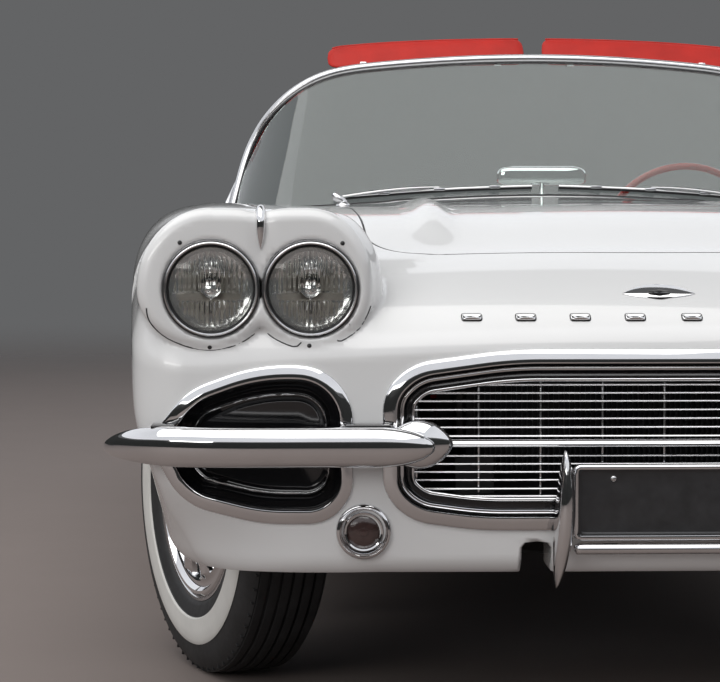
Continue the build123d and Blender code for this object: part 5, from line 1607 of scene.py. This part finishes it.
class SCENE_OT_cockpit(bpy.types.Operator):
    """Makes the seats, the visors, the dash, the steering wheel, the door cards and the quarter lights"""

    bl_idname = "roadster.cockpit"
    bl_label = "Cockpit"

    def execute(self, context):
        self.seats()
        self.visors()
        self.dash()
        self.steering()
        for side, sign in SIDES:
            self.door_card(side, sign)
            self.quarter_light(side, sign)
        self.deck()
        return {"FINISHED"}

    def seats(self):
        base = even(rounded([(-88, 424), (326, 406), (322, 486), (-80, 540)], [22, 16, 34, 46], 8), 13)
        rest = even(rounded([(292, 474), (404, 452), (506, 866), (436, 888)], [20, 18, 26, 30], 8), 13)
        pleats = sizes().seat_pleats
        for side, sign in SIDES:
            middle = sign * SEAT_X
            nodes = ["seats"] if side == "left" else []
            trim = Stock()
            for name, line, width, facing in (("cushion", base, 462, (0.1, 1)),
                                              ("backrest", rest, 440, (-1, 0.3))):
                normal = outward(line)
                faces = np.clip(normal @ np.array(facing) / math.hypot(*facing), 0, 1)
                rows = pad_rows(line, width, pleats, smooth(0.72, 0.95, faces))
                work = Stock().rows([(r + (middle, 0, 0))[::-1] for r in rows], "vinyl", caps=True)
                piece = work.piece(f"seat_{name}_{side}", "chassis", "red_trim", *nodes, sharp=None)
                soft(piece)
                ring = line + normal * 1.5
                ring = np.vstack([ring, ring[:1]])
                for u in (-0.93, 0.93):
                    path = np.column_stack([np.full(len(ring), middle + u * width / 2), ring])
                    trim.tube(path, 3.6, "vinyl", 8, caps=False, up=LEFT)
            for low, high in ((-190, -165), (165, 190)):
                trim.box((middle + low, -60, 308), (middle + high, 300, 330), "brushed", 2)
            trim.box((middle - 200, -62, 328), (middle + 200, 312, 412), "satin_black", 12)
            trim.piece(f"seat_piping_{side}", "chassis", "red_trim")

    def visors(self):
        angles = ring_angles(40)
        c, s = np.cos(angles), np.sin(angles)
        for side, sign in SIDES:
            rows = []
            for u in np.linspace(0, 1, 41):
                x = VISOR_INNER + VISOR_WIDTH * u
                high = 1331 - 5 * u - 17 * u**3
                low = 1262 - 6 * u
                start = math.sqrt(max(1 - (1 - min(u / 0.035, 1)) ** 2, 0.0))
                stop = math.sqrt(max(1 - max((u - 0.93) / 0.07, 0) ** 2, 0))
                end = max(min(start, stop), 0.12)
                middle, half = (high + low) / 2, (high - low) / 2 * (0.55 + 0.45 * end)
                thick = 12.5 * end * (0.9 + 0.1 * math.sin(u * math.pi))
                z = middle + half * signed_power(s, 0.62)
                y, _ = screen_at(np.full(40, x), np.full(40, middle))
                y = y + 33 + (z - middle) * VISOR_LEAN - thick * signed_power(c, 0.75)
                rows.append(np.column_stack([np.full(40, x), y, z]))
            edge = np.array([row[10] for row in rows[1:-1]])
            work = Stock().rows([r[::-1] for r in rows], "vinyl", caps=True)
            seam = Stock().tube(edge + (0, 0, 0.6), 2.4, "vinyl", 8)
            for x in (90, 420):
                y = float(screen_at([x], [1280])[0][0])
                seam.box((x - 9, y + 8, 1258), (x + 9, y + 30, 1272), "chrome", 3)
            if sign < 0:
                work.moved_over()
                seam.moved_over()
            nodes = ["sun_visors"] if side == "left" else []
            piece = work.piece(f"visor_pad_{side}", "chassis", "red_trim", *nodes, sharp=None)
            soft(piece)
            seam.piece(f"visor_seam_{side}", "chassis", "red_trim")

    def dash(self):
        work = Stock()
        face = even(rounded([(-431, 706), (-372, 716), (-336, 862), (-431, 884)], [8, 18, 28, 3], 8), 7)
        rows = [np.column_stack([np.full(len(face), u * DASH_HALF), face - (0, 10 * abs(u) ** 2.5)])
                for u in np.linspace(-1, 1, 81)]
        work.rows([r[::-1] for r in rows], "dash_paint", caps=True)
        roll = [(x, -350, 866 - 10 * abs(x / DASH_HALF) ** 2.5) for x in np.linspace(-748, 748, 41)]
        work.tube(roll, 17, "vinyl", 14, flat=0.8)
        work.box((-700, -352, 742), (170, -346, 748), "brushed", 2)
        place = towards((0, 0.96, 0.12), DIAL_AT)
        work.turned([(84, 0), (86, 10), (92, 12), (97, 4), (97, -70)], "dash_paint", 64, place)
        work.turned([(0.01, 0), (84, 0)], "dial", 64, place)
        for angle in range(-120, 121, 20):
            work.box((-1.2, 62, 0.2), (1.2, 76, 1.2), "whitewall", 0, place @ rotated(angle))
        work.box((-1.6, -8, 1.5), (1.6, 62, 2.6), "vinyl", 0, place @ rotated(-70))
        work.turned([(0.01, 6), (8, 5), (9, 1)], "chrome", 20, place)
        for x, z in SMALL_DIALS:
            dial = towards((0, 0.97, -0.2), (x, -366, z))
            work.turned([(26, 3), (28, 7), (31, 4), (31, -8)], "chrome", 40, dial)
            work.turned([(0.01, 3), (26, 3)], "dial", 40, dial)
            work.box((-1, -3, 3.6), (1, 19, 4.4), "whitewall", 0, dial @ rotated(x % 90 - 45))
        for x in (-90, 0, 90):
            work.turned([(0.01, 19.5), (9, 19), (12, 16), (13, 0)], "chrome", 24,
                        towards(BEHIND, (x, -360, 770)))
        work.box((-60, -368, 715), (60, -352, 742), "brushed", 4)
        work.box((-640, -356, 735), (-230, -349, 800), "satin_black", 6)
        work.piece("dash_panel", "chassis", "red_trim", "dashboard", sharp=45)

    def steering(self):
        tilt = math.radians(TILT)
        place = towards((0, math.cos(tilt), math.sin(tilt)), HUB)
        work = Stock()
        angles = ring_angles(18)
        rows = []
        for t in ring_angles(144):
            scallop = 0.55 * math.sin(t * 36) ** 2
            r = RIM_RADIUS + (GRIP_RADIUS - scallop) * np.cos(angles)
            grip = np.column_stack([r * math.cos(t), r * math.sin(t), GRIP_RADIUS * np.sin(angles)])
            rows.append(moved(grip, place))
        work.rows(rows, "dash_paint", loop=True)
        work.turned([(0.01, 18), (12, 17), (24, 14), (30, 10), (40, 9), (50, 4), (54, -2), (54, -10)],
                    "chrome", 56, place)
        work.turned([(54, -10), (52, -12), (42, -26), (40, -36)], "dash_paint", 48, place)
        for angle in (0, 180, 270):
            spoke = place @ rotated(angle)
            work.box((40, -12, -6), (190, 12, -1), "brushed", 2, spoke)
            for x in (78, 108, 138):
                work.turned([(0.01, -0.8), (5.5, -0.5), (6.5, 0.2), (7.5, -1.5)], "satin_black", 20,
                            spoke @ shifted(x, 0, 0))
        work.piece("steering_rim", "steering", "red_gloss", "steering_wheel")

    def door_card(self, side, sign):
        work = Stock()
        ys = np.linspace(CARD_FRONT, CARD_FRONT + CARD_LENGTH, 60)
        height = top_of(np.full(60, 768.0), ys) - 14

        def at(share):
            return CARD_LOW + (height - CARD_LOW) * share

        rows = []
        for t in np.linspace(0, 1, 40):
            wave = 3.0 * band(t, 0.0, 0.03, 0.97, 1)
            pleat = 1 - np.abs(np.sin((ys - CARD_FRONT) / CARD_LENGTH * math.pi * 12)) ** 0.5
            sewn = 1.6 * pleat * band(t, 0.34, 0.38, 0.62, 0.66)
            rows.append(np.column_stack([760.5 - wave + sewn, ys, at(t)])[::-1])
        work.rows(rows, "vinyl", closed=False)
        work.tube(np.column_stack([np.full(60, 765.0), ys, height + 4]), 12, "vinyl", 14, flat=0.9)
        for share in (0.64, 0.34):
            work.tube(np.column_stack([np.full(60, CARD_X), ys, at(share)]), 4, "chrome", 8)
        work.box((722, -60, 640), (760, 250, 672), "vinyl", 12, segments=4)
        work.turned([(0.01, 13), (9, 12), (15, 8), (17, 0)], "chrome", 28,
                    towards(RIGHT, (CARD_X, -190, 700)))
        work.tube([(748, -190, 700), (742, -150, 702), (740, -105, 700)], [6, 5, 7], "chrome", 12)
        work.turned([(0.01, 12), (12, 8), (14, 0)], "chrome", 24, towards(RIGHT, (CARD_X, -300, 600)))
        work.tube([(748, -300, 600), (742, -300, 640), (736, -300, 660)], [5, 4.5, 8], "chrome", 12, up=LEFT)
        skin, _ = settle(body_field, np.array([[880.0, 410.0, 742.0], [880.0, 290.0, 742.0]]), 8)
        grip = curve([skin[0], skin[0] + (16, -12, 0), skin[1] + (16, 12, 0), skin[1]], 24)
        work.tube(grip, [9] * 3 + [6] * 18 + [9] * 3, "chrome", 14, flat=1.2)
        work.turned([(0.01, 7), (9, 6), (11, 3), (11, -3)], "chrome", 24,
                    towards(LEFT, skin[0] + (0, 34, -2)))
        if sign < 0:
            work.moved_over()
        work.piece(f"door_card_{side}", f"{side}_door", "red_trim")

    def quarter_light(self, side, sign):
        place = shifted(773, 0, 880) @ rotated(-24, "Y") @ shifted(0, 0, -880)
        line = even(rounded([(-328, 880), (-152, 880), (-152, 1120), (-238, 1120), (-238, 1030)],
                            [6, 6, 16, 16, 60], 6), 6)
        normal = outward(line)
        work = Stock()
        deep, wide = np.array([(0, -5), (0, 5), (-3, 7), (-9, 7), (-12, 4), (-12, -4), (-9, -7), (-3, -7)],
                              float).T
        rows = [np.column_stack([wide, p[0] + n[0] * deep, p[1] + n[1] * deep]) for p, n in zip(line, normal)]
        work.rows([moved(r, place)[::-1] for r in rows], "chrome", loop=True)
        inner = line - normal * 10
        middle = inner.mean(0)
        pane = []
        for x, k in ((2, 0.01), (2, 1.0), (-2, 1.0), (-2, 0.01)):
            flat = middle + (inner - middle) * k
            pane.append(moved(np.column_stack([np.full(len(flat), float(x)), flat]), place)[::-1])
        work.rows(pane, "glass")
        if sign < 0:
            work.moved_over()
        work.piece(f"quarter_light_{side}", f"{side}_door", "clear_glass", f"vent_window_{side}")

    def deck(self):
        """Soft rolls round the cockpit's rear edge and the carpet on the wall behind the seats."""
        work = Stock()
        x = np.linspace(-700, 700, 61)
        z = top_of(x, np.full(61, 572.0)) - 2
        work.tube(np.column_stack([x, np.full(61, 553.0), z - 6]), 11, "vinyl", 12)
        work.box((-735, 545, 320), (735, 551, 806), "carpet", 2)
        work.piece("rear_roll", "chassis", "red_trim")


REAR_BUMPER_TALL = 33.0
TAIL_LAMPS, TAIL_LAMP_Z = (478.0, 640.0), 640.0


class SCENE_OT_rear_trim(bpy.types.Operator):
    """Makes the rear bumpers, the tail lamps, the rear plate panel and the pipe tips"""

    bl_idname = "roadster.rear_trim"
    bl_label = "Rear trim"

    def execute(self, context):
        self.bumpers()
        self.lamps()
        self.plate()
        self.tips()
        return {"FINISHED"}

    def bumpers(self):
        path = curve([(302, 2222, 0), (340, 2227, 0), (460, 2227, 0), (620, 2224, 0), (734, 2206, 0),
                      (800, 2158, 0), (836, 2090, 0), (852, 2020, 0), (860, 1958, 0)], 90)
        length = lengths(path)
        height = REAR_BUMPER_TALL * np.sqrt(np.clip(1 - (1 - np.clip(length / 60, 0.001, 1)) ** 2, 0, 1))
        height *= 0.08 + 0.92 * np.sin(np.clip((length[-1] - length) / 300, 0, 1) * math.pi / 2)
        ahead = headings(path)
        out = np.column_stack([-ahead[:, 1], ahead[:, 0], ahead[:, 2]])
        bulge, tall = blade_section(24, 1.1, 0.6, 0.6, 0.85)
        rows = [p + (0, 0, 490) + np.outer(bulge * 16 * min(h / REAR_BUMPER_TALL + 0.1, 1), o)
                + np.outer(tall * h, (0, 0, 1)) for p, o, h in zip(path, out, height)]
        work = Stock().rows(rows, "chrome", caps=True)
        work.box((520, 2170, 477), (580, 2216, 503), "chassis_black", 3)
        work.mirrored().piece("rear_bumper_blades", "chassis", "bright_metal", "rear_bumpers", sharp=50)

    def lamps(self):
        lamps = Stock()
        for x in TAIL_LAMPS:
            place = towards(BEHIND, (x, self.back_of(x, TAIL_LAMP_Z), TAIL_LAMP_Z))
            for profile, finish, steps in (
                ([(41, 2), (43, 7), (47, 9.5), (51, 8), (53, 4), (53, -14)], "chrome", 72),
                ([(0.01, 19.4), (10, 19), (22, 17), (32, 13), (39, 7), (41, 2)], "red_lens", 64),
                ([(0.01, 23), (12, 22), (13, 18)], "chrome", 32),
            ):
                lamps.turned(profile, finish, steps, place)
        lamps.mirrored().piece("tail_lamp_set", "chassis", "red_lens", "tail_lamps")

    def plate(self):
        plate = Stock()
        rim = [(0, -4), (0, 12), (3, 17), (8, 19), (14, 16), (17, 8), (18, 6), (40, 6)]
        rows = frame_rows(rectangle(-200, 200, 382, 540, 26, 8), rim, 0.0)
        rows = [(r * (1, -1, 1) + (0, TAIL + 2.5, 0))[::-1] for r in rows]
        middle = np.array([0, rows[-1][0, 1], 461])
        rows.append(middle + (rows[-1] - middle) * 0.02)
        plate.rows(rows[:6], "chrome")
        plate.rows(rows[5:], "plate_black")
        for x in (-PLATE_SCREW_X, PLATE_SCREW_X):
            plate.turned([(0.01, 4), (5, 3), (6, 0)], "brushed", 16, towards(BEHIND, (x, 2183, 500)))
        plate.piece("rear_plate_panel", "chassis", "bright_metal", "rear_plate", sharp=50)

    def tips(self):
        tips = Stock()
        for x in (-560, 560):
            tips.turned([(24.4, 40), (24.4, 90), (25.5, 91.2), (27.3, 90), (28, 84), (28, 20), (27.4, 0)],
                        "chrome", 48, towards(BEHIND, (x, 2100, 299)))
        tips.piece("pipe_tips", "chassis", "bright_metal")

    def back_of(self, x, z):
        y = np.arange(2240.0, 2000.0, -1.0)
        inside = body_field(np.column_stack([np.full(len(y), x), y, np.full(len(y), z)])) < 0
        return float(y[np.argmax(inside)])


NODE_FINISHES = {
    "frame": "chassis_black", "engine": "engine_paint", "floor_pan": "carpet", "bulkheads": "satin_black",
    "trunk_floor": "carpet", "exhaust": "steel", "front_suspension": "chassis_black", "rear_axle": "cast",
    "leaf_springs": "steel", "knuckle_left": "cast", "knuckle_right": "cast", "lid_rests": "satin_black",
    "steering_column": "dash_paint",
}
FAN_BLADES = 6


class SCENE_OT_underside(bpy.types.Operator):
    """Gives the chassis, the engine block and the running gear their finishes, and lines the wheel arches"""

    bl_idname = "roadster.underside"
    bl_label = "Chassis and engine"

    def execute(self, context):
        for name, finish in NODE_FINISHES.items():
            mesh = frame["nodes"][name].data
            mesh.materials.clear()
            mesh.materials.append(FINISHES[finish])
            mesh.set_sharp_from_angle(angle=math.radians(38))
        self.houses()
        self.engine_dress()
        return {"FINISHED"}

    def houses(self):
        work = Stock()
        angles = np.radians(np.linspace(-4, 184, 48))
        for y, radius, low, high in ((AXLES[0], 424.0, 640.0, 868.0), (AXLES[1], 392.0, 652.0, 872.0)):
            edge = np.column_stack([y - radius * np.cos(angles),
                                    ARCH_HEIGHT + radius * np.sin(angles) * 0.985])
            outer = np.full(48, high)
            for _ in range(60):
                outside = body_field(np.column_stack([outer, edge])) > -16
                outer = np.where(outside & (outer > low + 4), outer - 4, outer)
            rows = [np.column_stack([low + (outer - low) * t, edge]) for t in np.linspace(0, 1, 12)]
            work.rows(rows, "undercoat", closed=False)
            foot = np.column_stack([rows[0][:, :2], np.full(48, ARCH_HEIGHT - 20)])
            work.rows([rows[0], foot], "undercoat", closed=False)
        work.mirrored().piece("wheel_houses", "chassis", "black_metal")

    def engine_dress(self):
        work = Stock()
        for side in (-1, 1):
            place = shifted(side * 150, -1045, 762) @ rotated(side * 10, "Y")
            work.box((-62, -240, -6), (62, 240, 34), "engine_paint", 16, place, 4)
            for y in (-200, -70, 70, 200):
                work.turned([(0.01, 40), (5, 39), (6, 34)], "brushed", 14, place @ shifted(0, y, 0))
        cleaner = shifted(0, -1050, 798)
        work.turned([(0.01, 45), (18, 44), (60, 40), (148, 34), (154, 26), (154, 0), (150, -18), (120, -20)],
                    "gloss_black", 64, cleaner)
        work.turned([(0.01, 54), (8, 52), (9, 44)], "chrome", 20, cleaner)
        work.turned([(30, 9), (150, 8), (160, 4), (150, 0), (30, -1)], "brushed", 48,
                    towards(AHEAD, (0, -1345, 600)))
        for i in range(FAN_BLADES):
            blade = towards(AHEAD, (0, -1352, 600)) @ rotated(i * 360 / FAN_BLADES) @ rotated(22, "X")
            work.box((20, -32, 8), (175, 32, 11), "brushed", 1, blade)
        work.piece("engine_dress", "chassis", "engine_metal")


# Studio


FLOOR_HALF, FADE_START, FADE_END = 60.0, 3.5, 19.0
WORLD_LIGHT, WORLD_COLOUR = 0.46, (0.80, 0.83, 0.88)
CAMERA_PLACE, CAMERA_PITCH, CAMERA_TURN = (-0.606, -5.526, 0.815), 87.45, -1.95
CAMERA_LENS, CAMERA_SENSOR = 105.5, 36.0
CARD_SIDES = 48


def plain_finish(name, colour, rough, glow=0.0):
    """A plain studio surface with a faint mottle."""
    made = Shader(name, colour, rough).mottle(1.7, 0.015).wear(5, 0.05).grain(60, 0.05)
    if glow:
        made.surface.inputs["Emission Color"].default_value = (*colour, 1)
        made.surface.inputs["Emission Strength"].default_value = glow
    return made.material


class SCENE_OT_stage(bpy.types.Operator):
    """Makes the camera, the floor, the studio cards, the lamps and the light of the world"""

    bl_idname = "roadster.stage"
    bl_label = "Studio"

    def execute(self, context):
        self.camera()
        floor = bpy.data.meshes.new("Studio_floor")
        corners = [(FLOOR_HALF * x, FLOOR_HALF * y, 0) for x, y in ((-1, -1), (1, -1), (1, 1), (-1, 1))]
        floor.from_pydata(corners, [], [(0, 1, 2, 3)])
        FINISHES["floor"] = self.fade(plain_finish("Floor_paint", tuple(colours().floor), 0.85))
        floor.materials.append(FINISHES["floor"])
        ground = bpy.data.objects.new("Studio_floor", floor)
        bpy.context.scene.collection.objects.link(ground)
        self.cards()
        self.world()
        self.lamp("Sky_panel", (-1.5, -3.0, 6.5), (0, 0.2, 0.4), (9, 7), 400)
        self.lamp("Front_panel", (-5.5, -8.5, 3.4), (-0.5, -1.8, 0.7), (5, 3), 190)
        return {"FINISHED"}

    def fade(self, material):
        """Lets the floor thin out with distance, so that it meets the backdrop without an edge."""
        nodes, links = material.node_tree.nodes, material.node_tree.links
        output = nodes["Material Output"]
        solid = output.inputs["Surface"].links[0].from_socket
        place = nodes.new("ShaderNodeNewGeometry")
        reach = nodes.new("ShaderNodeVectorMath")
        reach.operation = "LENGTH"
        share = nodes.new("ShaderNodeMapRange")
        share.interpolation_type = "SMOOTHERSTEP"
        share.inputs["From Min"].default_value = FADE_START
        share.inputs["From Max"].default_value = FADE_END
        clear = nodes.new("ShaderNodeBsdfTransparent")
        mix = nodes.new("ShaderNodeMixShader")
        links.new(place.outputs["Position"], reach.inputs[0])
        links.new(reach.outputs["Value"], share.inputs["Value"])
        links.new(share.outputs["Result"], mix.inputs["Fac"])
        links.new(solid, mix.inputs[1])
        links.new(clear.outputs[0], mix.inputs[2])
        links.new(mix.outputs[0], output.inputs["Surface"])
        return material

    def camera(self):
        made = bpy.data.cameras.new("Camera")
        made.lens = CAMERA_LENS
        made.sensor_width = CAMERA_SENSOR
        made.clip_end = 200.0
        holder = bpy.data.objects.new("Camera", made)
        holder.location = CAMERA_PLACE
        holder.rotation_euler = (math.radians(CAMERA_PITCH), 0.0, math.radians(CAMERA_TURN))
        bpy.context.scene.collection.objects.link(holder)
        bpy.context.scene.camera = holder

    def cards(self):
        """A dark low ring and a pale one above it, far off, that only bright and glossy surfaces mirror."""
        FINISHES["dark_card"] = plain_finish("Black_card", (0.035, 0.037, 0.035), 0.9)
        FINISHES["pale_card"] = plain_finish("White_card", (0.80, 0.82, 0.85), 0.9, 0.75)
        angles = ring_angles(CARD_SIDES)
        ring = np.column_stack([np.cos(angles), np.sin(angles)])
        for name, finish, profile in (
            ("Studio_ring", "dark_card", ((9500, 60), (9500, 1900), (9690, 2700))),
            ("Studio_sky", "pale_card", ((9800, 3300), (8600, 5600), (6400, 7400), (4700, 8200))),
        ):
            rows = [np.column_stack([ring * far, np.full(CARD_SIDES, high)])[::-1] for far, high in profile]
            made = Stock().rows(rows, finish)
            card = build(name, made.points, made.faces, finish)
            for look in ("visible_camera", "visible_diffuse", "visible_transmission", "visible_shadow"):
                setattr(card, look, False)

    def world(self):
        scene = bpy.context.scene
        scene.view_settings.view_transform = "Standard"
        world = bpy.data.worlds.new("Studio_world")
        scene.world = world
        world.use_nodes = True
        nodes, links = world.node_tree.nodes, world.node_tree.links
        lit = nodes["Background"]
        lit.inputs["Color"].default_value = (*WORLD_COLOUR, 1)
        lit.inputs["Strength"].default_value = WORLD_LIGHT
        seen = nodes.new("ShaderNodeBackground")
        seen.inputs["Color"].default_value = (*colours().backdrop, 1)
        path = nodes.new("ShaderNodeLightPath")
        any_two = nodes.new("ShaderNodeMath")
        any_two.operation = "MAXIMUM"
        any_three = nodes.new("ShaderNodeMath")
        any_three.operation = "MAXIMUM"
        mix = nodes.new("ShaderNodeMixShader")
        links.new(path.outputs["Is Camera Ray"], any_two.inputs[0])
        links.new(path.outputs["Is Glossy Ray"], any_two.inputs[1])
        links.new(any_two.outputs[0], any_three.inputs[0])
        links.new(path.outputs["Is Transmission Ray"], any_three.inputs[1])
        links.new(any_three.outputs[0], mix.inputs["Fac"])
        links.new(lit.outputs[0], mix.inputs[1])
        links.new(seen.outputs[0], mix.inputs[2])
        links.new(mix.outputs[0], nodes["World Output"].inputs["Surface"])

    def lamp(self, name, place, aim, size, watts):
        made = bpy.data.lights.new(name, "AREA")
        made.shape = "RECTANGLE"
        made.size, made.size_y = size
        made.energy = watts
        made.color = (1.0, 0.99, 0.97)
        holder = bpy.data.objects.new(name, made)
        holder.location = place
        holder.rotation_euler = (Vector(aim) - Vector(place)).to_track_quat("-Z", "Y").to_euler()
        bpy.context.scene.collection.objects.link(holder)


class VIEW3D_PT_roadster(bpy.types.Panel):
    bl_label = "Roadster"
    bl_idname = "VIEW3D_PT_roadster"
    bl_space_type = "VIEW_3D"
    bl_region_type = "UI"
    bl_category = "Roadster"

    def draw(self, context):
        layout = self.layout
        for group in (sizes(), colours()):
            box = layout.box()
            for key in group.__annotations__:
                box.prop(group, key)
        for made in OPERATORS:
            layout.operator(made.bl_idname)


OPERATORS = (
    SCENE_OT_body, SCENE_OT_front_trim, SCENE_OT_lamps, SCENE_OT_wheels, SCENE_OT_windscreen,
    SCENE_OT_cockpit, SCENE_OT_rear_trim, SCENE_OT_underside, SCENE_OT_stage,
)
CLASSES = (RoadsterSizes, RoadsterColours, *OPERATORS, VIEW3D_PT_roadster)


def register():
    for made in CLASSES:
        bpy.utils.register_class(made)
    bpy.types.Scene.roadster_sizes = bpy.props.PointerProperty(type=RoadsterSizes)
    bpy.types.Scene.roadster_colours = bpy.props.PointerProperty(type=RoadsterColours)


def unregister():
    del bpy.types.Scene.roadster_colours
    del bpy.types.Scene.roadster_sizes
    for made in reversed(CLASSES):
        bpy.utils.unregister_class(made)


def main():
    register()
    finish_materials()
    for made in OPERATORS:
        group, name = made.bl_idname.split(".")
        getattr(getattr(bpy.ops, group), name)()
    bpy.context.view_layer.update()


if __name__ == "__main__":
    main()
